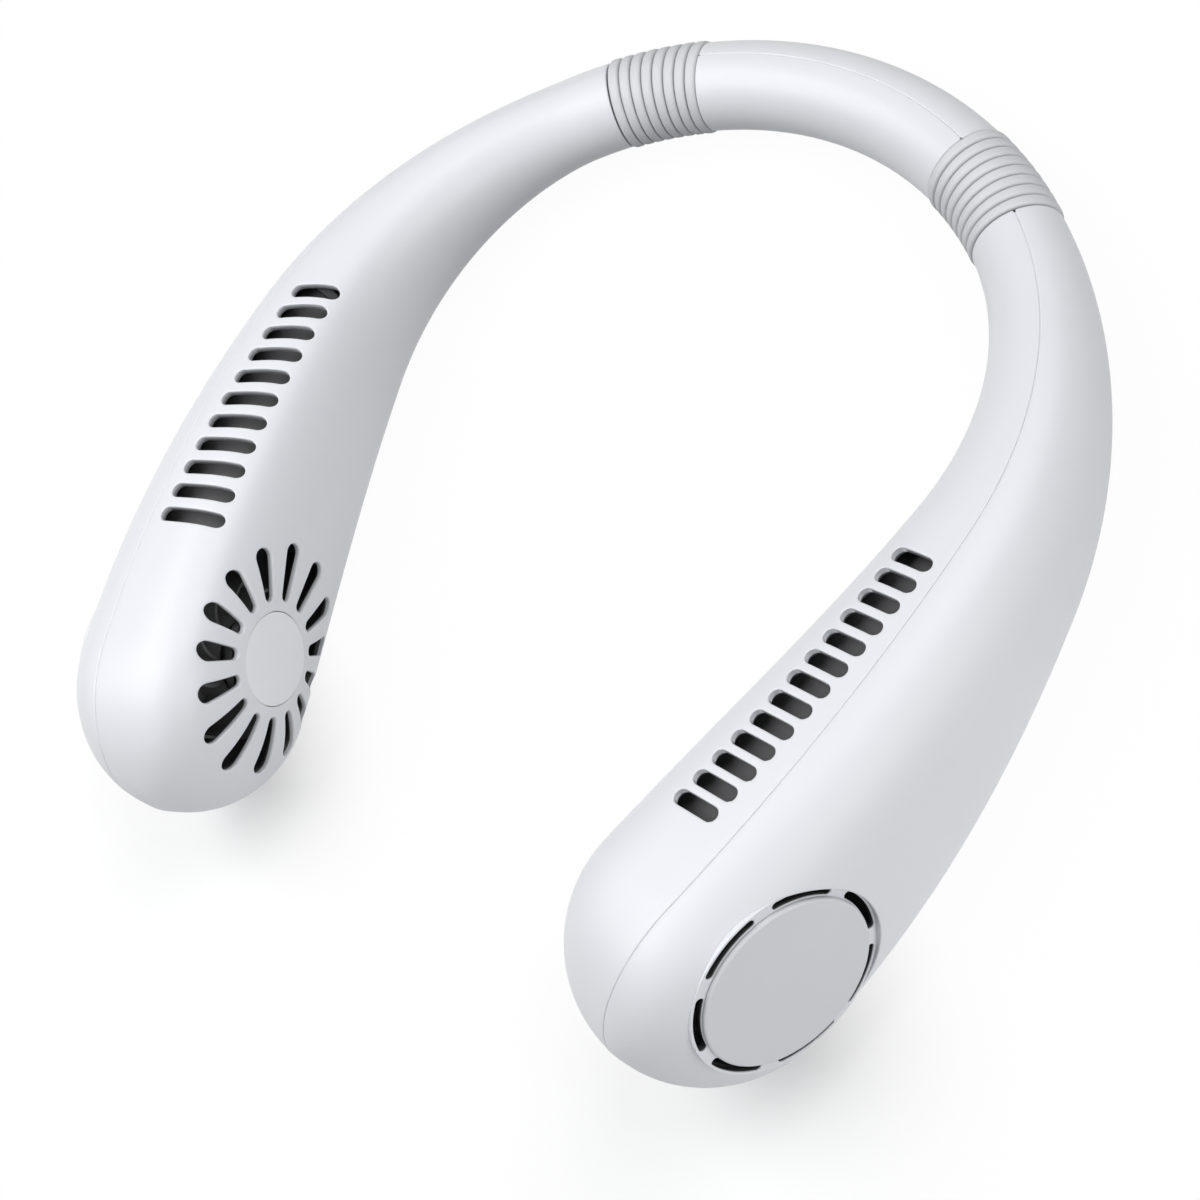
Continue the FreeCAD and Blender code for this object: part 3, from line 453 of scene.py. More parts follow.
def stadium_gap(across, along, half_straight, radius):
    """Distance to a stadium: to its middle line less its radius."""
    return np.hypot(across, np.maximum(np.abs(along) - half_straight, 0.0)) - radius


def slot_opening(arm, share, lip):
    """An air slot: a stadium whose place, length and turn lie at a share of the way from the first slot to the
    last."""
    at = {key: arm["first"][key] * (1 - share) + arm["last"][key] * share for key in arm["first"]}
    place = Place(at["station"], (0.0, at["middle"], 0.0))
    turn = math.radians(at["turn"])
    radius = arm["width"] / 2
    straight = at["length"] / 2 - radius

    def gap(points):
        near = place.local(points)
        across = near[..., 0] * math.cos(turn) + near[..., 1] * math.sin(turn)
        along = near[..., 1] * math.cos(turn) - near[..., 0] * math.sin(turn)
        return np.where(near[..., 2] > 0, stadium_gap(across, along, straight, radius), FAR)

    return Opening(gap, lip, np.array([0.0, 0.0, -1.0]))


def control_opening(place, length, height, lip):
    """A hole for a control: a stadium in the board's frame."""
    def gap(points):
        near = BOARD_PLACE.local(points)
        found = stadium_gap(near[..., 2], near[..., 0] - place, (length - height) / 2, height / 2)
        return np.where(near[..., 1] > 0, found, FAR)

    return Opening(gap, lip, -BOARD_PLACE.axes[:, 1])


def grille_gap(place, points):
    """Distance to the nearest teardrop: the turn is folded into one sector, where the drop is two round ends and the
    straight sides that touch both."""
    near = place.local(points)
    reach = np.hypot(near[..., 0], near[..., 2])
    turn = np.arctan2(near[..., 2], near[..., 0])
    pitch = 2 * math.pi / GRILLE_COUNT
    middle = np.round(turn / pitch) * pitch
    away = turn - middle
    outer = 1 / np.hypot(np.cos(middle) / GRILLE_REACH_ALONG, np.sin(middle) / GRILLE_REACH_UP) - GRILLE_WIDE
    length = outer - GRILLE_INNER
    slope = (GRILLE_WIDE - GRILLE_NARROW) / length
    rise = np.sqrt(1 - slope * slope)
    along = reach * np.cos(away) - GRILLE_INNER
    aside = np.abs(reach * np.sin(away))
    foot = along * rise + aside * slope
    to_side = aside * rise - along * slope - GRILLE_NARROW
    to_inner = np.hypot(along, aside) - GRILLE_NARROW
    to_outer = np.hypot(along - length, aside) - GRILLE_WIDE
    gap = np.where(foot < 0, to_inner, np.where(foot > length * rise, to_outer, to_side))
    return np.where(near[..., 1] < 0, gap, FAR)


def cap_gap(place, points):
    """Distance to the round seat of the grille cap."""
    near = place.local(points)
    gap = np.hypot(near[..., 0], near[..., 2]) - CAP_RADIUS - CAP_CLEARANCE
    return np.where(near[..., 1] < 0, gap, FAR)


def recess_gap(place, points):
    """Distance to the round recess of the cover disc."""
    near = place.local(points)
    gap = np.hypot(near[..., 0], near[..., 1]) - RECESS_RADIUS
    return np.where(near[..., 2] > -RECESS_REACH, gap, FAR)


def ring_gap(place, points):
    """Distance to the nearest arc-shaped slot: the turn is folded into one sector, where the slot is an arc with
    round ends."""
    near = place.local(points)
    pitch = 2 * math.pi / RING_COUNT
    middle = (RING_INNER + RING_OUTER) / 2
    radius = (RING_OUTER - RING_INNER) / 2
    half_sweep = (pitch - math.radians(RING_BRIDGE)) / 2 - radius / middle
    turn = np.arctan2(near[..., 1], near[..., 0]) + math.radians(RING_FIRST)
    away = np.abs(turn - np.round(turn / pitch) * pitch)
    past = np.maximum(away - half_sweep, 0.0)
    reach = np.hypot(near[..., 0], near[..., 1])
    return np.hypot(reach * np.cos(past) - middle, reach * np.sin(past)) - radius


def seam_opening(seam, side, lip):
    """The parting line: a wall at a fixed outward offset. side is +1 for the outer shell and -1 for the inner one."""
    return Opening(lambda points: side * (line_coordinates(points)[1] - seam), lip)


def nearest_edge(openings, points):
    """Least distance of points to the start of an edge's rounding, and which edge that is."""
    distances = np.stack([opening.gap(points) - opening.lip for opening in openings])
    which = np.argmin(distances, 0)
    return np.take_along_axis(distances, which[None], 0)[0], which


def full_turn(columns):
    """Even angles round a full turn."""
    return np.arange(columns) * (2 * math.pi / columns)


def quads(first, second, third, fourth):
    """Two triangles for each cell, from the numbers of its four corners."""
    halves = (first, second, third), (first, third, fourth)
    return np.concatenate([np.stack(half, -1).reshape(-1, 3) for half in halves])


def grid_triangles(rows, columns, ends):
    """Triangles of a grid that closes round its second way. Its ends are left open, joined as a loop, closed by fans
    to two points that follow the grid's own, or only the last is closed, to one pole."""
    number = np.arange(rows * columns).reshape(rows, columns)
    beside = np.roll(number, -1, 1)
    extra = np.full(columns, rows * columns)
    parts = [quads(number[:-1], beside[:-1], beside[1:], number[1:])]
    if ends == "pole":
        parts.append(np.stack([number[-1], beside[-1], extra], 1))
    if ends == "fans":
        parts.append(np.stack([extra, beside[0], number[0]], 1))
        parts.append(np.stack([extra + 1, number[-1], beside[-1]], 1))
    if ends == "loop":
        parts.append(quads(number[-1], beside[-1], beside[0], number[0]))
    return np.concatenate(parts)


def cut_skin(skin, first, second, corners, openings):
    """Cuts the triangles of a skin that cross the start of an edge's rounding, at the point that halving finds along
    each crossed side. Gives the skin's coordinates with those of the cuts added, the faces that stay, and the cuts'
    numbers where each stretch of edge comes from and goes to."""
    value, _ = nearest_edge(openings, skin(first, second))
    kept = value[corners] > 0
    number = kept.sum(1)
    crossed = np.flatnonzero((number == 1) | (number == 2))
    lone_kept = number[crossed] == 1
    lone = np.where(lone_kept, np.argmax(kept[crossed], 1), np.argmin(kept[crossed], 1))
    turned = corners[crossed[:, None], (lone[:, None] + np.arange(3)) % 3]
    sides = np.sort(np.concatenate([turned[:, [0, 1]], turned[:, [0, 2]]]), 1)
    unique, place = np.unique(sides, axis=0, return_inverse=True)
    start, end = unique.T
    ahead = first[end] - first[start]
    swing = (second[end] - second[start] + math.pi) % (2 * math.pi) - math.pi
    rising = value[end] > 0
    low = np.zeros(len(unique))
    high = np.ones(len(unique))
    for _ in range(HALVINGS):
        middle = (low + high) / 2
        there = skin(first[start] + ahead * middle, second[start] + swing * middle)
        above = nearest_edge(openings, there)[0] > 0
        high = np.where(above == rising, middle, high)
        low = np.where(above == rising, low, middle)
    base = len(first)
    near, far = place.reshape(2, -1) + base
    faces = np.concatenate([
        corners[number == 3],
        np.stack([turned[:, 0], near, far], 1)[lone_kept],
        np.stack([near, turned[:, 1], turned[:, 2]], 1)[~lone_kept],
        np.stack([near, turned[:, 2], far], 1)[~lone_kept],
    ])
    come_from = np.where(lone_kept, near, far) - base
    go_to = np.where(lone_kept, far, near) - base
    first = np.append(first, first[start] + ahead * high)
    second = np.append(second, second[start] + swing * high)
    return first, second, faces, come_from, go_to


def edge_layers(openings, rim, normals):
    """Rows of points that lead from the cut rim into the shell: a quarter round, which starts along the skin and ends
    along the edge's wall, and then the wall's foot."""
    which = nearest_edge(openings, rim)[1]
    steps = SLOPE_STEP * np.eye(3)
    rises = [nearest_edge(openings, rim + step)[0] - nearest_edge(openings, rim - step)[0] for step in steps]
    slope = np.stack(rises, -1) / (2 * SLOPE_STEP)
    slope -= normals * np.sum(slope * normals, -1, keepdims=True)
    steep = np.maximum(np.sum(slope * slope, -1, keepdims=True), LEAST_STEEPNESS)
    lips = np.array([opening.lip for opening in openings])[which][:, None]
    reach = -slope * lips / steep
    inward = -normals
    for index, opening in enumerate(openings):
        if opening.inward is not None:
            inward = np.where((which == index)[:, None], opening.inward, inward)
    depth = WALL / np.maximum(-np.sum(inward * normals, -1), LEAST_SLANT)
    for index, opening in enumerate(openings):
        if opening.floor is not None:
            origin, axis = opening.floor
            fall = ((origin - rim - reach) @ axis) / np.sum(inward * axis, -1)
            depth = np.where(which == index, np.maximum(fall, lips[:, 0]), depth)
        if opening.depth is not None:
            depth = np.where(which == index, opening.depth, depth)
    turns = np.linspace(0, math.pi / 2, LIP_STEPS + 1)[1:]
    layers = [rim + reach * math.sin(turn) + inward * lips * (1 - math.cos(turn)) for turn in turns]
    return layers + [rim + reach + inward * depth[:, None]]


def moulded_shell(skin, stations, columns, openings, pole=None):
    """A closed shell with rounded openings: the skin is drawn on a grid and cut at its edges, each edge leads inwards
    over its rounding and its wall, and the walls join the inner face, which is the skin moved in by the wall's
    thickness. Gives points, faces and which faces lie inside, which are given the dark grey of painted shade."""
    first, second = (part.ravel() for part in np.meshgrid(stations, full_turn(columns), indexing="ij"))
    if pole is not None:
        first = np.append(first, pole)
        second = np.append(second, 0.0)
    base = len(first)
    corners = grid_triangles(len(stations), columns, "open" if pole is None else "pole")
    first, second, faces, come_from, go_to = cut_skin(skin, first, second, corners, openings)
    points = skin(first, second)
    normals = skin_normal(skin, first, second, FAR if pole is None else stations[-1] - POLE_GAP)
    layers = edge_layers(openings, points[base:], normals[base:])
    total = len(points)
    starts = [2 * total + (total - base) * index for index in range(len(layers))]
    pairs = zip([base] + starts, starts + [total + base])
    strips = [quads(go_to + here, come_from + here, come_from + there, go_to + there) for here, there in pairs]
    all_points = np.concatenate([points, points - normals * WALL] + layers)
    all_faces = np.concatenate([faces, faces[:, ::-1] + total] + strips)
    # The inner face and the strips from the walls' feet to it get the dark grey finish: painted shade.
    dark = np.zeros(len(all_faces), bool)
    dark[len(faces):2 * len(faces)] = True
    dark[-len(strips[-1]):] = True
    return all_points, all_faces, dark


def turned_solid(profile, place, axis, stretch=0.0):
    """A closed turned piece: a profile of radii and heights, which starts and ends on the axis, carried round it.
    With a stretch its two halves are drawn apart along the first direction, so that it goes round a stadium."""
    profile = np.asarray(profile, float)
    angles = full_turn(TURNED_COLUMNS)
    apart = np.zeros(TURNED_COLUMNS)
    if stretch > 0:
        half = np.linspace(-math.pi / 2, math.pi / 2, TURNED_COLUMNS // 2)
        angles = np.concatenate([half, half + math.pi])
        apart = np.repeat([stretch, -stretch], TURNED_COLUMNS // 2)
    radius, angle = np.meshgrid(profile[1:-1, 0], angles, indexing="ij")
    height = np.broadcast_to(profile[1:-1, 1][:, None], radius.shape)
    round_x, round_y = radius * np.cos(angle) + apart, radius * np.sin(angle)
    parts = {"y": (round_x, height, -round_y), "z": (round_x, round_y, height)}[axis]
    ends = np.zeros((2, 3))
    ends[:, "xyz".index(axis)] = profile[[0, -1], 1]
    points = np.concatenate([np.stack(parts, -1).reshape(-1, 3), ends])
    return place.world(points), grid_triangles(*radius.shape, "fans")


def rounded_profile(corners):
    """A profile through corners given as radius, height and rounding: each corner is replaced by an even curve
    between the points at its rounding's distance before and behind it."""
    line = [corners[0][:2]]
    for before, corner, after in zip(corners[:-2], corners[1:-1], corners[2:]):
        at = np.array(corner[:2])
        back = np.array(before[:2]) - at
        ahead = np.array(after[:2]) - at
        start = at + back / np.linalg.norm(back) * corner[2]
        end = at + ahead / np.linalg.norm(ahead) * corner[2]
        for share in np.linspace(0, 1, CORNER_STEPS + 1):
            line.append(tuple(start * (1 - share) ** 2 + at * 2 * share * (1 - share) + end * share ** 2))
    return line + [corners[-1][:2]]


def swept_solid(stations, out, up, ends):
    """A closed piece carried along the arc round the neck: rows of points at stations, each point given by how far it
    is outwards and upwards of the line. The rows form a loop, or the first and last are closed by fans."""
    centre, _, outwards = line_frame(stations)
    points = centre[:, None] + outwards[:, None] * out[..., None]
    points[..., 2] += up
    middles = points[[0, -1]].mean(1)
    points = points.reshape(-1, 3)
    if ends == "fans":
        points = np.concatenate([points, middles])
    return points, grid_triangles(*out.shape, ends)


def sleeve_ends(side):
    """Stations at which a side's sleeve starts at the band and ends at the arm."""
    shift = ARMS[side]["sleeve_shift"]
    return NECK_RADIUS * math.radians(SLEEVE_START + shift), NECK_RADIUS * math.radians(SLEEVE_END + shift)


def to_row(points):
    """Points of the flat frame in the row frame, in metres: tipped about the x axis so that z runs along the arm's
    hinge, and moved so that the hinge is where the record has it."""
    hinge = {joint["name"]: joint for joint in frame["joints"]}["right_arm_spread"]
    tip = math.degrees(math.atan2(hinge["axis"][1], hinge["axis"][2]))
    turn = tipped(-tip)
    middle = sum(sleeve_ends("right")) / 2
    shift = np.array(hinge["pos_m"], float) - turn @ line_frame(middle)[0] / MM_PER_METRE
    return points @ turn.T / MM_PER_METRE + shift


def side_mesh(side, points, faces):
    """A mesh of the right arm in the row frame, mirrored with its faces turned round again for the left one."""
    if side == "left":
        points, faces = points * np.array([-1.0, 1.0, 1.0]), faces[:, ::-1]
    return to_row(points), faces


def joined(*meshes):
    """Several meshes as one."""
    points = [mesh[0] for mesh in meshes]
    starts = np.cumsum([0] + [len(part) for part in points[:-1]])
    faces = [mesh[1] + start for mesh, start in zip(meshes, starts)]
    return np.concatenate(points), np.concatenate(faces)


def new_piece(node, ending, shape, materials, second=None):
    """A smooth-shaded object at the origin in place of a node, from points in the row frame and triangles, without
    unused points. second tells which faces have the second material."""
    points, faces = shape
    used, faces = np.unique(faces, return_inverse=True)
    points = points[used]
    faces = faces.reshape(-1, 3)
    mesh = bpy.data.meshes.new(node + ending)
    mesh.vertices.add(len(points))
    mesh.vertices.foreach_set("co", points.astype(np.float32).ravel())
    mesh.loops.add(faces.size)
    mesh.loops.foreach_set("vertex_index", faces.astype(np.int32).ravel())
    mesh.polygons.add(len(faces))
    mesh.polygons.foreach_set("loop_start", np.arange(0, faces.size, 3, dtype=np.int32))
    for material in materials:
        mesh.materials.append(material)
    if second is not None:
        mesh.polygons.foreach_set("material_index", second.astype(np.int32))
    mesh.polygons.foreach_set("use_smooth", np.ones(len(faces), bool))
    mesh.update()
    if mesh.validate():
        raise RuntimeError(node + ending + " has faces that don't hold")
    piece = bpy.data.objects.new(node + ending, mesh)
    bpy.context.scene.collection.objects.link(piece)
    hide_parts(node)
    return piece


class Wire:
    """An output of a material's nodes. Sums with it add Math nodes."""

    def __init__(self, finish, socket):
        self.finish = finish
        self.socket = socket

    def math(self, operation, *others):
        """One Math node on this value and others."""
        values = dict(enumerate((self,) + others))
        return self.finish.wire("Math", {"operation": operation}, values)

    def __add__(self, other):
        return self.math("ADD", other)

    __radd__ = __add__

    def __sub__(self, other):
        return self.math("SUBTRACT", other)

    def __rsub__(self, other):
        return (self * -1.0) + other

    def __mul__(self, other):
        return self.math("MULTIPLY", other)

    __rmul__ = __mul__

    def __pow__(self, other):
        return self.math("POWER", other)


class Finish:
    """A material or world under construction."""

    def __init__(self, owner):
        owner.use_nodes = True
        self.owner = owner
        self.tree = owner.node_tree
        self.tree.nodes.clear()

    def node(self, kind, settings, sockets):
        """A shader node of a kind, with its settings made first and then its sockets given values or links."""
        node = self.tree.nodes.new("ShaderNode" + kind)
        for key, value in settings.items():
            setattr(node, key, value)
        for key, value in sockets.items():
            if isinstance(value, Wire):
                self.tree.links.new(value.socket, node.inputs[key])
            else:
                node.inputs[key].default_value = value
        return node

    def wire(self, kind, settings, sockets, output=0):
        """One output of a new node."""
        return Wire(self, self.node(kind, settings, sockets).outputs[output])

    def spot(self):
        """Object coordinates, in metres."""
        return self.wire("TexCoord", {}, {}, "Object")

    def noise(self, scale, detail=2.0):
        """Even noise on object coordinates, from 0 to 1; scale is in bumps per metre."""
        sockets = {"Vector": self.spot(), "Scale": scale, "Detail": detail}
        return self.wire("TexNoise", {}, sockets, "Fac")

    def shade(self, colour, share, darker):
        """A colour that runs to a multiple of itself as share goes from 0 to 1."""
        deep = tuple(part * darker for part in colour) + (1.0,)
        sockets = {MIX_SHARE: share, MIX_FIRST: tuple(colour) + (1.0,), MIX_SECOND: deep}
        return self.wire("Mix", {"data_type": "RGBA"}, sockets, MIX_RESULT)

    def bump(self, height, strength, distance):
        """A normal raised by a height."""
        sockets = {"Height": height, "Strength": strength, "Distance": distance}
        return self.wire("Bump", {}, sockets, "Normal")

    def smooth(self, value, low, high, start=0.0, end=1.0):
        """A smooth step from start to end as a value goes from low to high."""
        sockets = {"Value": value, "From Min": low, "From Max": high, "To Min": start, "To Max": end}
        return self.wire("MapRange", {"interpolation_type": "SMOOTHSTEP"}, sockets)

    def between(self, operation, place):
        """The product or distance of object coordinates and a place."""
        return self.wire("VectorMath", {"operation": operation}, {0: self.spot(), 1: place}, "Value")

    def diffuse(self, grey):
        """A matt shader of an even grey."""
        return self.wire("BsdfDiffuse", {}, {"Color": (grey, grey, grey, 1.0)})

    def mix(self, share, first, second):
        """A shader that runs from one to another as share goes from 0 to 1."""
        return self.wire("MixShader", {}, {0: share, 1: first, 2: second})

    def surface(self, **sockets):
        """The finish's shader, linked to the output. Underscores in names stand for spaces."""
        named = {key.replace("_", " "): value for key, value in sockets.items()}
        shader = self.wire("BsdfPrincipled", {}, named, "BSDF")
        self.node("OutputMaterial", {}, {"Surface": shader})
        return self.owner


def moulded_plastic(finish, colour, roughness, grain=0.06, darker=0.965):
    """Satin moulded plastic: a fine spark-eroded grain in the bump, and faint clouds in tone and gloss."""
    clouds = finish.noise(scale=38.0, detail=3.0)
    grain_height = finish.noise(scale=2600.0, detail=2.0)
    return finish.surface(
        Base_Color=finish.shade(colour, clouds, darker),
        Roughness=clouds * 0.06 + grain_height * 0.04 + (roughness - 0.05),
        Normal=finish.bump(grain_height, grain, GRAIN_DEPTH),
        IOR=1.46,
    )


def silicone(finish, colour):
    """Matt silicone, with painted shade deep in the grooves, which its own attribute gives, and a soft bloom in tone.
    """
    groove = finish.wire("Attribute", {"attribute_name": "groove"}, {}, "Fac")
    bloom = finish.noise(scale=160.0, detail=3.0)
    # Painted shade: the tone falls off towards the bottom of each groove.
    share = groove ** 3.0 * 0.9 + bloom * 0.1
    return finish.surface(
        Base_Color=finish.shade(colour, share, darker=0.16),
        Roughness=bloom * 0.1 + 0.5,
        Normal=finish.bump(finish.noise(scale=3200.0), 0.05, GRAIN_DEPTH),
        IOR=1.43,
    )


def metal(finish, colour, roughness):
    """Drawn metal: fine streaks in its gloss and tone."""
    streak = finish.noise(scale=900.0, detail=4.0)
    return finish.surface(
        Base_Color=finish.shade(colour, streak, darker=0.8),
        Metallic=1.0,
        Roughness=streak * 0.16 + roughness,
    )


def solder_mask(finish, colour):
    """Board lacquer: faint tracks from a fine grid of cells under a glossy coat."""
    sockets = {"Vector": finish.spot(), "Scale": 420.0}
    cell = finish.wire("TexVoronoi", {"distance": "MANHATTAN"}, sockets, "Distance")
    return finish.surface(
        Base_Color=finish.shade(colour, cell, darker=0.6),
        Roughness=cell * 0.1 + 0.28,
        Normal=finish.bump(cell, 0.1, TRACK_DEPTH),
    )


def clear_plastic(finish, colour):
    """Clear moulded rod: little tint, with faint clouds in its gloss."""
    clouds = finish.noise(scale=300.0)
    return finish.surface(
        Base_Color=finish.shade(colour, clouds, darker=0.96),
        Roughness=clouds * 0.08 + 0.08,
        Transmission_Weight=0.85,
        IOR=1.49,
    )


def finishes():
    """The scene's finishes by name, made once, each from its maker, colour and further values."""
    colours = bpy.context.scene.fan_colours
    makers = {
        "shell_white": (moulded_plastic, colours.shell, 0.36),
        "disc_grey": (moulded_plastic, colours.disc, 0.42),
        "cap_grey": (moulded_plastic, colours.cap, 0.42),
        # Painted shade: the dark grey that stands for the shade inside the shells.
        "shell_inside": (moulded_plastic, colours.inside, 0.6, 0.12, 0.8),
        "sleeve_silicone": (silicone, colours.sleeve),
        # Painted shade: white parts inside the arms, drawn near black for the shade they lie in behind the slots.
        "inner_white": (moulded_plastic, (0.035, 0.035, 0.037), 0.6, 0.1, 0.8),
        "impeller_dark": (moulded_plastic, (0.26, 0.262, 0.27), 0.45, 0.1, 0.8),
        "switch_black": (moulded_plastic, (0.02, 0.02, 0.022), 0.35, 0.1, 0.8),
        "cable_grey": (moulded_plastic, (0.09, 0.09, 0.095), 0.5, 0.1, 0.8),
        "cell_wrap": (moulded_plastic, (0.05, 0.055, 0.065), 0.3, 0.04, 0.85),
        "steel": (metal, (0.62, 0.62, 0.63), 0.22),
        "motor_can": (metal, (0.5, 0.5, 0.51), 0.3),
        "bronze": (metal, (0.42, 0.27, 0.14), 0.35),
        # Dark green lacquer drawn near grey: partly its own colour, partly painted shade inside the slots.
        "board_green": (solder_mask, (0.022, 0.032, 0.028)),
        "lamp_clear": (clear_plastic, (0.93, 0.95, 0.97)),
    }
    made = {}
    for name, (make, colour, *values) in makers.items():
        own = name + "_finish"
        made[name] = bpy.data.materials.get(own)
        if made[name] is None:
            made[name] = make(Finish(bpy.data.materials.new(own)), tuple(colour), *values)
    return made


def lengths():
    """The shape settings in millimetres."""
    shape = bpy.context.scene.fan_shape
    return {name: getattr(shape, name) * MM_PER_METRE for name in FanShape.__annotations__}


def recess_floor(disc):
    """Floor under the cover disc: a flat ring with arc-shaped slots, drawn as a skin of radius and turn. Gives
    points, faces and which faces lie inside, which are given the dark grey of painted shade."""
    def skin(radius, angle):
        height = np.full_like(radius, -RECESS_FLOOR)
        return disc.world(np.stack([radius * np.cos(angle), -radius * np.sin(angle), height], -1))

    def reach(points):
        near = disc.local(points)
        return np.hypot(near[..., 0], near[..., 1])

    outer = RECESS_RADIUS + RECESS_OVERLAP
    down = -disc.axes[:, 2]
    edges = [
        Opening(lambda points: ring_gap(disc, points), RING_LIP, down, None, 2 * RING_LIP),
        Opening(lambda points: reach(points) - FLOOR_INNER, FLOOR_LIP, down),
        Opening(lambda points: outer - reach(points), FLOOR_LIP, down),
    ]
    rows = np.append(FLOOR_INNER, np.linspace(RING_INNER - RING_MARGIN, outer, RING_ROWS))
    return moulded_shell(skin, rows, RING_COLUMNS, edges)


def plate(top, under):
    """A closed plate between two grids of points of one shape: both faces and the rim round them."""
    rows, columns = top.shape[:2]
    number = np.arange(rows * columns).reshape(rows, columns)
    upper = quads(number[:-1, :-1], number[:-1, 1:], number[1:, 1:], number[1:, :-1])
    here = np.concatenate([number[0, :-1], number[:-1, -1], number[-1, :0:-1], number[:0:-1, 0]])
    there = np.roll(here, -1)
    below = rows * columns
    rim = quads(there, here, here + below, there + below)
    points = np.concatenate([top.reshape(-1, 3), under.reshape(-1, 3)])
    return points, np.concatenate([upper, upper[:, ::-1] + below, rim])


def duct_floor(side):
    """Floor of the air duct under the slots: the arm's skin moved in by a depth, which eases up to the wall along the
    edge on the inner side of the arm."""
    arm = ARMS[side]
    skin = arm_skin(side)
    start = arm["first"]["station"] - DUCT_OVERRUN
    end = arm["last"]["station"] + DUCT_OVERRUN
    angles = np.radians(np.linspace(DUCT_FIRST, DUCT_LAST, DUCT_COLUMNS))
    station, angle = np.meshgrid(np.linspace(start, end, DUCT_ROWS), angles, indexing="ij")
    points = skin(station, angle)
    normal = skin_normal(skin, station, angle, FAR)
    share = np.clip((DUCT_LAST - np.degrees(angle)) / DUCT_EASE, 0.0, 1.0)
    depth = (DUCT_EDGE + (DUCT_DEPTH - DUCT_EDGE) * eased(share))[..., None]
    return plate(points - normal * depth, points - normal * (depth + DUCT_PLATE))


def motor_seat(fan):
    """Plate behind the cap that carries the motor: a turned disc between the cap's seat and the motor."""
    inside = CAP_BACK + WALL
    corners = [(0, CAP_BACK, 0), (SEAT_RADIUS, CAP_BACK, SEAT_EDGE), (SEAT_RADIUS, inside, SEAT_EDGE), (0, inside, 0)]
    return turned_solid(rounded_profile(corners), fan, "y")


def arm_shell(side, outer):
    """One moulded half of an arm with its openings and the parts moulded onto it, and which of its faces lie
    inside, which are given the dark grey of painted shade."""
    sizes = lengths()
    arm = ARMS[side]
    fan = FAN_PLACES[side]
    disc = DISC_PLACES[side]
    begin = sleeve_ends(side)[1]
    end = Opening(lambda points: line_coordinates(points)[0] - begin, sizes["end_lip"])
    edges = [seam_opening(arm["seam"], 1 if outer else -1, sizes["seam_lip"]), end]
    if outer:
        up = disc.axes[:, 2]
        floor = disc.world(np.array([0.0, 0.0, -RECESS_FLOOR]))
        edges.append(Opening(lambda points: recess_gap(disc, points), sizes["recess_lip"], -up, (floor, up)))
        if side == "left":
            edges += [control_opening(*hole, sizes["slot_lip"]) for hole in CONTROL_HOLES]
    else:
        out = fan.axes[:, 1]
        floor = fan.world(np.array([0.0, CAP_BACK, 0.0]))
        shares = [index / (arm["slots"] - 1) for index in range(arm["slots"])]
        edges += [slot_opening(arm, share, sizes["slot_lip"]) for share in shares]
        edges.append(Opening(lambda points: grille_gap(fan, points), sizes["grille_lip"], out, None, GRILLE_WALL))
        edges.append(Opening(lambda points: cap_gap(fan, points), sizes["slot_lip"], out, (floor, out)))
    last = ARM_LENGTH + BULB_NOSE * math.pi / 2
    stations = np.linspace(begin, last - POLE_GAP, int((last - begin) / GRID_STEP))
    *shell, dark = moulded_shell(arm_skin(side), stations, ARM_COLUMNS, edges, last)
    if outer:
        *extra, extra_dark = recess_floor(disc)
    else:
        extra = joined(motor_seat(fan), duct_floor(side))
        # The motor seat and the duct floor are given the dark grey of painted shade all over.
        extra_dark = np.ones(len(extra[1]), bool)
    return side_mesh(side, *joined(shell, extra)), np.concatenate([dark, extra_dark])


class ShellsOperator(bpy.types.Operator):
    """Builds the moulded halves of the arms and of the band"""

    bl_idname = "neck_fan.shells"
    bl_label = "Moulded shells"

    def execute(self, context):
        finish = finishes()
        # The second finish is the painted shade on the faces that lie inside.
        pair = [finish["shell_white"], finish["shell_inside"]]
        for side in ARMS:
            for half in ("inner", "outer"):
                shape, dark = arm_shell(side, half == "outer")
                piece = new_piece(side + "_arm_" + half + "_shell", "_moulding", shape, pair, dark)
                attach(piece, side + "_arm")
        sizes = lengths()
        start = -sleeve_ends("left")[0]
        end = sleeve_ends("right")[0]
        stations = np.linspace(start, end, int((end - start) / GRID_STEP))

        def to_ends(points):
            station = line_coordinates(points)[0]
            return np.minimum(station - start, end - station)

        for half, sign in (("inner", -1), ("outer", 1)):
            seam = seam_opening(BAND_SEAM, sign, sizes["seam_lip"])
            edges = [Opening(to_ends, sizes["end_lip"]), seam]
            points, faces, dark = moulded_shell(tube_skin, stations, BAND_COLUMNS, edges)
            piece = new_piece("band_" + half + "_shell", "_moulding", (to_row(points), faces), pair, dark)
            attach(piece, "neck_band")
        return {"FINISHED"}


def ribbed_skin(low, high):
    """The ribbed sleeve: a circle of the ribs' radius carried forwards and one of the bore's radius carried back. A
    rib's crown is one less a power of the distance from its middle, so that the grooves between the ribs are narrow.
    Gives points, faces and how deep each point lies in a groove."""
    ahead = np.linspace(low, high, RIB_COUNT * RIB_STEPS + 1)
    share = (ahead - low) / (high - low) * RIB_COUNT
    crown = 1 - np.abs((share % 1.0) * 2 - 1) ** RIB_POWER
    radii = GROOVE_RADIUS + (RIB_RADIUS - GROOVE_RADIUS) * crown
    angle = full_turn(SLEEVE_COLUMNS)
    reach = np.append(radii, np.full(len(ahead), SLEEVE_BORE))[:, None]
    stations = np.append(ahead, ahead[::-1])
    points, faces = swept_solid(stations, reach * np.cos(angle), reach * np.sin(angle), "loop")
    return points, faces, np.repeat(np.append(1 - crown, np.ones(len(ahead))), SLEEVE_COLUMNS)


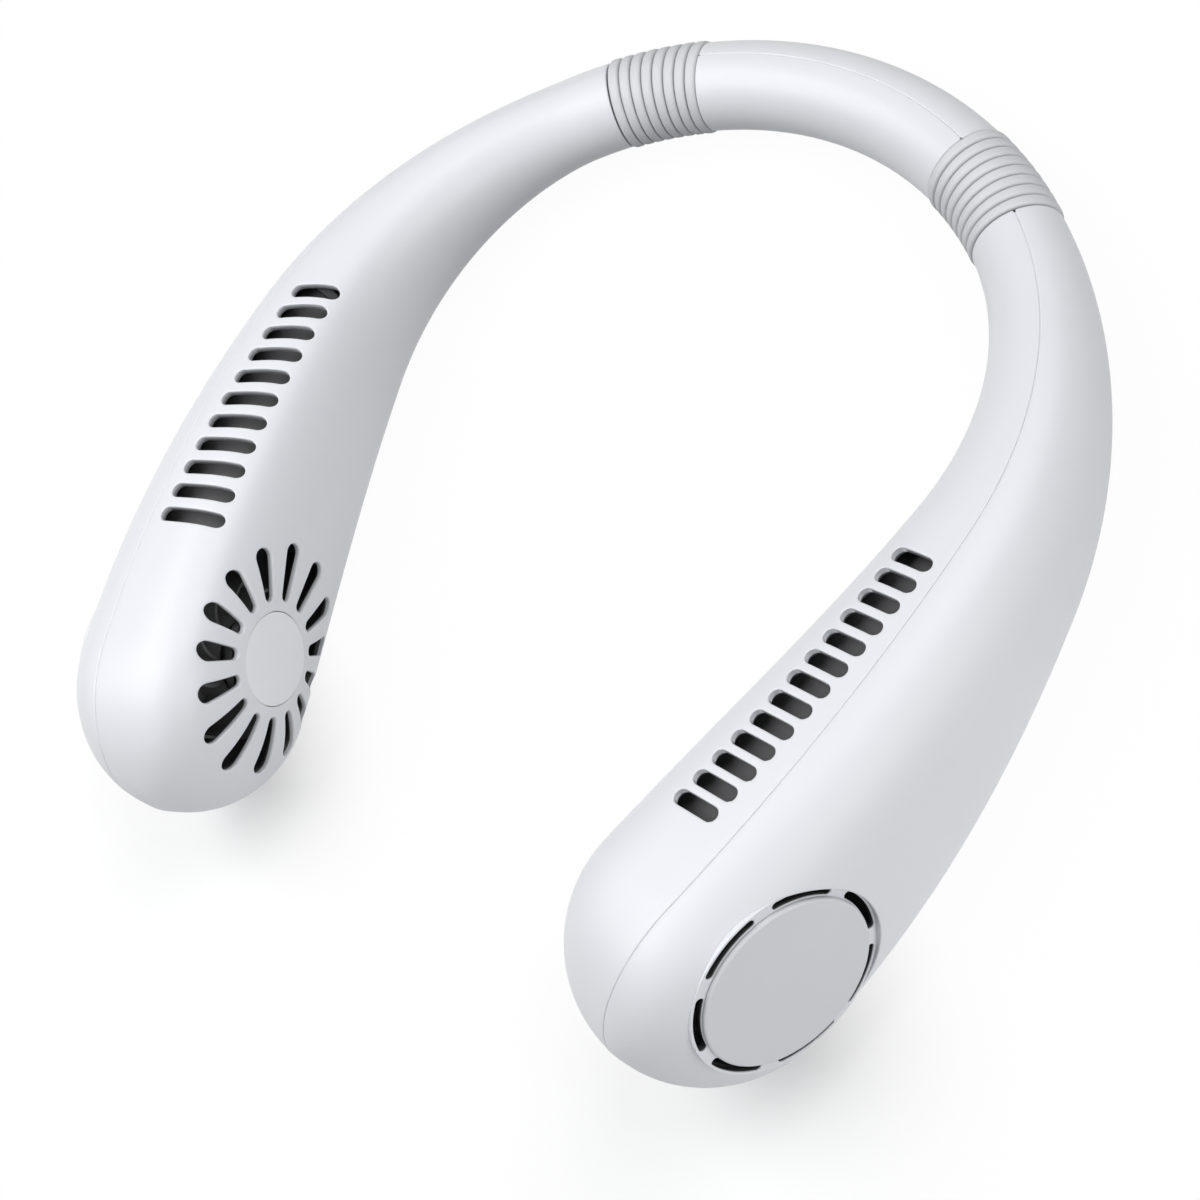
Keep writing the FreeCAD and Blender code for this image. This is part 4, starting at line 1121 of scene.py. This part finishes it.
def bar_skin(low, high, half_width, half_height, drop, power):
    """A bar along the line: a super-ellipse of two half sizes and a power, lowered by a drop."""
    cosine = np.cos(full_turn(BAR_COLUMNS))
    sine = np.sin(full_turn(BAR_COLUMNS))
    out = half_width * np.sign(cosine) * np.abs(cosine) ** (2 / power)
    up = half_height * np.sign(sine) * np.abs(sine) ** (2 / power) - drop
    grid = (BAR_ROWS, BAR_COLUMNS)
    stations = np.linspace(low, high, BAR_ROWS)
    return swept_solid(stations, np.broadcast_to(out, grid), np.broadcast_to(up, grid), "fans")


class SleevesOperator(bpy.types.Operator):
    """Builds the ribbed sleeves with the spring strips and leads that run through them"""

    bl_idname = "neck_fan.sleeves"
    bl_label = "Ribbed sleeves"

    def execute(self, context):
        finish = finishes()
        for side in ARMS:
            low, high = sleeve_ends(side)
            *skin, groove = ribbed_skin(low, high - SLEEVE_GAP)
            sleeve = self.bending(side, "ribbed_sleeve", skin, finish["sleeve_silicone"])
            # How deep each point lies in a groove, which the silicone finish paints as shade.
            attribute = sleeve.data.attributes.new("groove", "FLOAT", "POINT")
            attribute.data.foreach_set("value", groove.astype(np.float32))
            over = COLLAR_DEPTH + STRIP_OVERRUN
            half_sizes = STRIP_THICKNESS / 2, STRIP_HEIGHT / 2
            strip = bar_skin(low - over, high + over, *half_sizes, 0.0, STRIP_SQUARENESS)
            self.bending(side, "spring_strip", strip, finish["steel"])
            ends = low - COLLAR_DEPTH, high + COLLAR_DEPTH
            lead = bar_skin(*ends, CABLE_RADIUS, CABLE_RADIUS, CABLE_DROP, ROUND_POWER)
            self.bending(side, "sleeve_cable", lead, finish["cable_grey"])
        return {"FINISHED"}

    @staticmethod
    def bending(side, node, shape, material):
        """A piece that runs from the band to the arm over the sleeve's length, in place of a node."""
        piece = new_piece(side + "_" + node, "_skin", side_mesh(side, *shape), [material])
        ends = side_mesh(side, line_frame(np.array(sleeve_ends(side)))[0], np.zeros((0, 3), int))[0]
        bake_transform(piece)
        return piece


class CoversOperator(bpy.types.Operator):
    """Builds the cover discs, the grille caps and the power button with their rounded edges"""

    bl_idname = "neck_fan.covers"
    bl_label = "Covers and button"

    def execute(self, context):
        finish = finishes()
        edge = lengths()["disc_edge"]
        fine = edge / 4
        foot = DISC_FOOT_RADIUS
        disc = rounded_profile([
            (0, -RECESS_FLOOR, 0), (foot, -RECESS_FLOOR, 0), (foot, -DISC_PLATE, 0),
            (DISC_RADIUS, -DISC_PLATE, fine), (DISC_RADIUS, 0, edge), (0, 0, 0)])
        inner = CAP_RADIUS - CAP_RIM
        under = CAP_FACE + CAP_PLATE
        cap = rounded_profile([
            (0, CAP_FACE, 0), (CAP_RADIUS, CAP_FACE, edge / 2), (CAP_RADIUS, CAP_BACK, fine),
            (inner, CAP_BACK, fine), (inner, under, fine), (0, under, 0)])
        for side in ARMS:
            turned = turned_solid(disc, DISC_PLACES[side], "z")
            self.cover(side, "cover_disc", turned, finish["disc_grey"])
            turned = turned_solid(cap, FAN_PLACES[side], "y")
            self.cover(side, "grille_cap", turned, finish["cap_grey"])
        face = float(outer_half_width(BOARD_STATION))
        top = face + BUTTON_PROUD
        start = face - WALL - BUTTON_FLANGE_GAP - BUTTON_FLANGE
        step = start + BUTTON_FLANGE
        radius = BUTTON_HEIGHT / 2
        wide = radius + BUTTON_FLANGE
        key = rounded_profile([
            (0, start, 0), (wide, start, fine), (wide, step, fine), (radius, step, fine), (radius, top, edge),
            (0, top, 0)])
        turned = turned_solid(key, BOARD_PLACE, "y", (BUTTON_LENGTH - BUTTON_HEIGHT) / 2)
        shape = side_mesh("left", *turned)
        button = new_piece("power_button", "_key", shape, [finish["shell_white"]])
        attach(button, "power_button")
        return {"FINISHED"}

    @staticmethod
    def cover(side, node, shape, material):
        """A turned cover on an arm, in place of a node."""
        piece = new_piece(side + "_" + node, "_turned", side_mesh(side, *shape), [material])
        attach(piece, side + "_arm")


class FinishesOperator(bpy.types.Operator):
    """Gives every solid of the frame that is shown its procedural finish"""

    bl_idname = "neck_fan.finishes"
    bl_label = "Finishes"

    def execute(self, context):
        finish = finishes()
        for subpart in frame["record"]["subparts"]:
            node = frame["nodes"][subpart["node"]]
            node.data.materials.clear()
            node.data.materials.append(finish[subpart["material_slot"]])
        return {"FINISHED"}


def floor_paper():
    """White paper: seen directly it glows, least where the bulbs' shadows lie. To the object it is a plain sheet that
    throws back less light behind than in front."""
    finish = Finish(bpy.data.materials.new("floor_paper"))
    rays = finish.node("LightPath", {}, {}).outputs
    camera_ray = Wire(finish, rays["Is Camera Ray"])
    seen = camera_ray.math("MAXIMUM", Wire(finish, rays["Is Glossy Ray"]))
    seen = seen.math("MAXIMUM", Wire(finish, rays["Is Transmission Ray"]))
    behind = finish.smooth(finish.between("DOT_PRODUCT", (0.0, 1.0, 0.0)), BOUNCE_FRONT, BOUNCE_BACK)
    bounce = finish.mix(behind, finish.diffuse(BOUNCE_GREY), finish.diffuse(BACK_BOUNCE_GREY))
    paper = finish.mix(camera_ray, bounce, finish.diffuse(PAPER_GREY))
    first, second = (finish.between("DISTANCE", place) for place in SHADOW_PLACES)
    far = finish.smooth(first.math("MINIMUM", second), SHADOW_NEAR, SHADOW_FAR, SHADOW_GLOW, PAPER_GLOW)
    glow = finish.wire("Emission", {}, {"Color": WHITE, "Strength": 1.0})
    finish.node("OutputMaterial", {}, {"Surface": finish.mix(seen * far, paper, glow)})
    return finish.owner


def studio(strength):
    """The room: an even, slightly cool light on the object, and plain white to the camera."""
    room = Finish(bpy.data.worlds.new("studio"))
    even = room.wire("Background", {}, {"Color": ROOM_COLOUR, "Strength": strength})
    white = room.wire("Background", {}, {"Color": WHITE, "Strength": 1.0})
    seen = room.wire("LightPath", {}, {}, "Is Camera Ray")
    room.node("OutputWorld", {}, {"Surface": room.mix(seen, even, white)})
    return room.owner


def look_along(direction):
    """Turn that points a lamp's -z axis along a direction."""
    direction = direction / np.linalg.norm(direction)
    start = np.array([0.0, 0.0, -1.0])
    axis = np.cross(start, direction)
    return Quaternion((1.0 + float(start @ direction), *axis)).normalized()


class StageOperator(bpy.types.Operator):
    """Sets the floor, the lamps, the room light and the camera"""

    bl_idname = "neck_fan.stage"
    bl_label = "Stage"

    def execute(self, context):
        scene = context.scene
        setup = scene.fan_stage
        half = FLOOR_HALF
        mesh = bpy.data.meshes.new("floor")
        corners = [(-half, -half, 0), (half, -half, 0), (half, half, 0), (-half, half, 0)]
        mesh.from_pydata(corners, [], [(0, 1, 2, 3)])
        mesh.materials.append(floor_paper())
        floor = self.placed(scene, "floor", mesh, (0.0, 0.0, 0.0), (1.0, 0.0, 0.0, 0.0))
        scene.world = studio(setup.room_light)
        for name, (place, size) in LAMPS.items():
            lamp = bpy.data.lights.new(name + "_lamp", "AREA")
            lamp.shape = "SQUARE"
            lamp.size = size
            lamp.energy = getattr(setup, name + "_power")
            self.placed(scene, lamp.name, lamp, place, look_along(-np.array(place)))
        camera = bpy.data.cameras.new("photo_camera")
        camera.sensor_width = SENSOR_WIDTH
        camera.lens = CAMERA_LENS
        camera.clip_start = CLIP_START
        scene.camera = self.placed(scene, "photo_camera", camera, CAMERA_PLACE, CAMERA_TURN)
        scene.view_settings.view_transform = "Standard"
        return {"FINISHED"}

    @staticmethod
    def placed(scene, name, data, place, turn):
        """An object of the stage at a place and a turn."""
        thing = bpy.data.objects.new(name, data)
        thing.location = place
        thing.rotation_mode = "QUATERNION"
        thing.rotation_quaternion = turn
        scene.collection.objects.link(thing)
        return thing


class FanPanel(bpy.types.Panel):
    """Settings and builders of the neck fan"""

    bl_idname = "VIEW3D_PT_neck_fan"
    bl_label = "Neck fan"
    bl_space_type = "VIEW_3D"
    bl_region_type = "UI"
    bl_category = "Neck fan"

    def draw(self, context):
        layout = self.layout
        for group in (context.scene.fan_shape, context.scene.fan_colours, context.scene.fan_stage):
            column = layout.column(align=True)
            for name in group.__annotations__:
                column.prop(group, name)
        for operator in OPERATORS:
            layout.operator(operator.bl_idname)


OPERATORS = (FinishesOperator, ShellsOperator, SleevesOperator, CoversOperator, StageOperator)
CLASSES = (FanShape, FanColours, FanStage) + OPERATORS + (FanPanel,)


def register():
    """Registers the classes and hangs the settings on the scene."""
    for item in CLASSES:
        bpy.utils.register_class(item)
    bpy.types.Scene.fan_shape = PointerProperty(type=FanShape)
    bpy.types.Scene.fan_colours = PointerProperty(type=FanColours)
    bpy.types.Scene.fan_stage = PointerProperty(type=FanStage)


def unregister():
    """Takes the settings and classes away again."""
    del bpy.types.Scene.fan_stage
    del bpy.types.Scene.fan_colours
    del bpy.types.Scene.fan_shape
    for item in reversed(CLASSES):
        bpy.utils.unregister_class(item)


def main():
    """Builds everything in order."""
    register()
    bpy.ops.neck_fan.finishes()
    bpy.ops.neck_fan.shells()
    bpy.ops.neck_fan.sleeves()
    bpy.ops.neck_fan.covers()
    bpy.ops.neck_fan.stage()


if __name__ == "__main__":
    main()
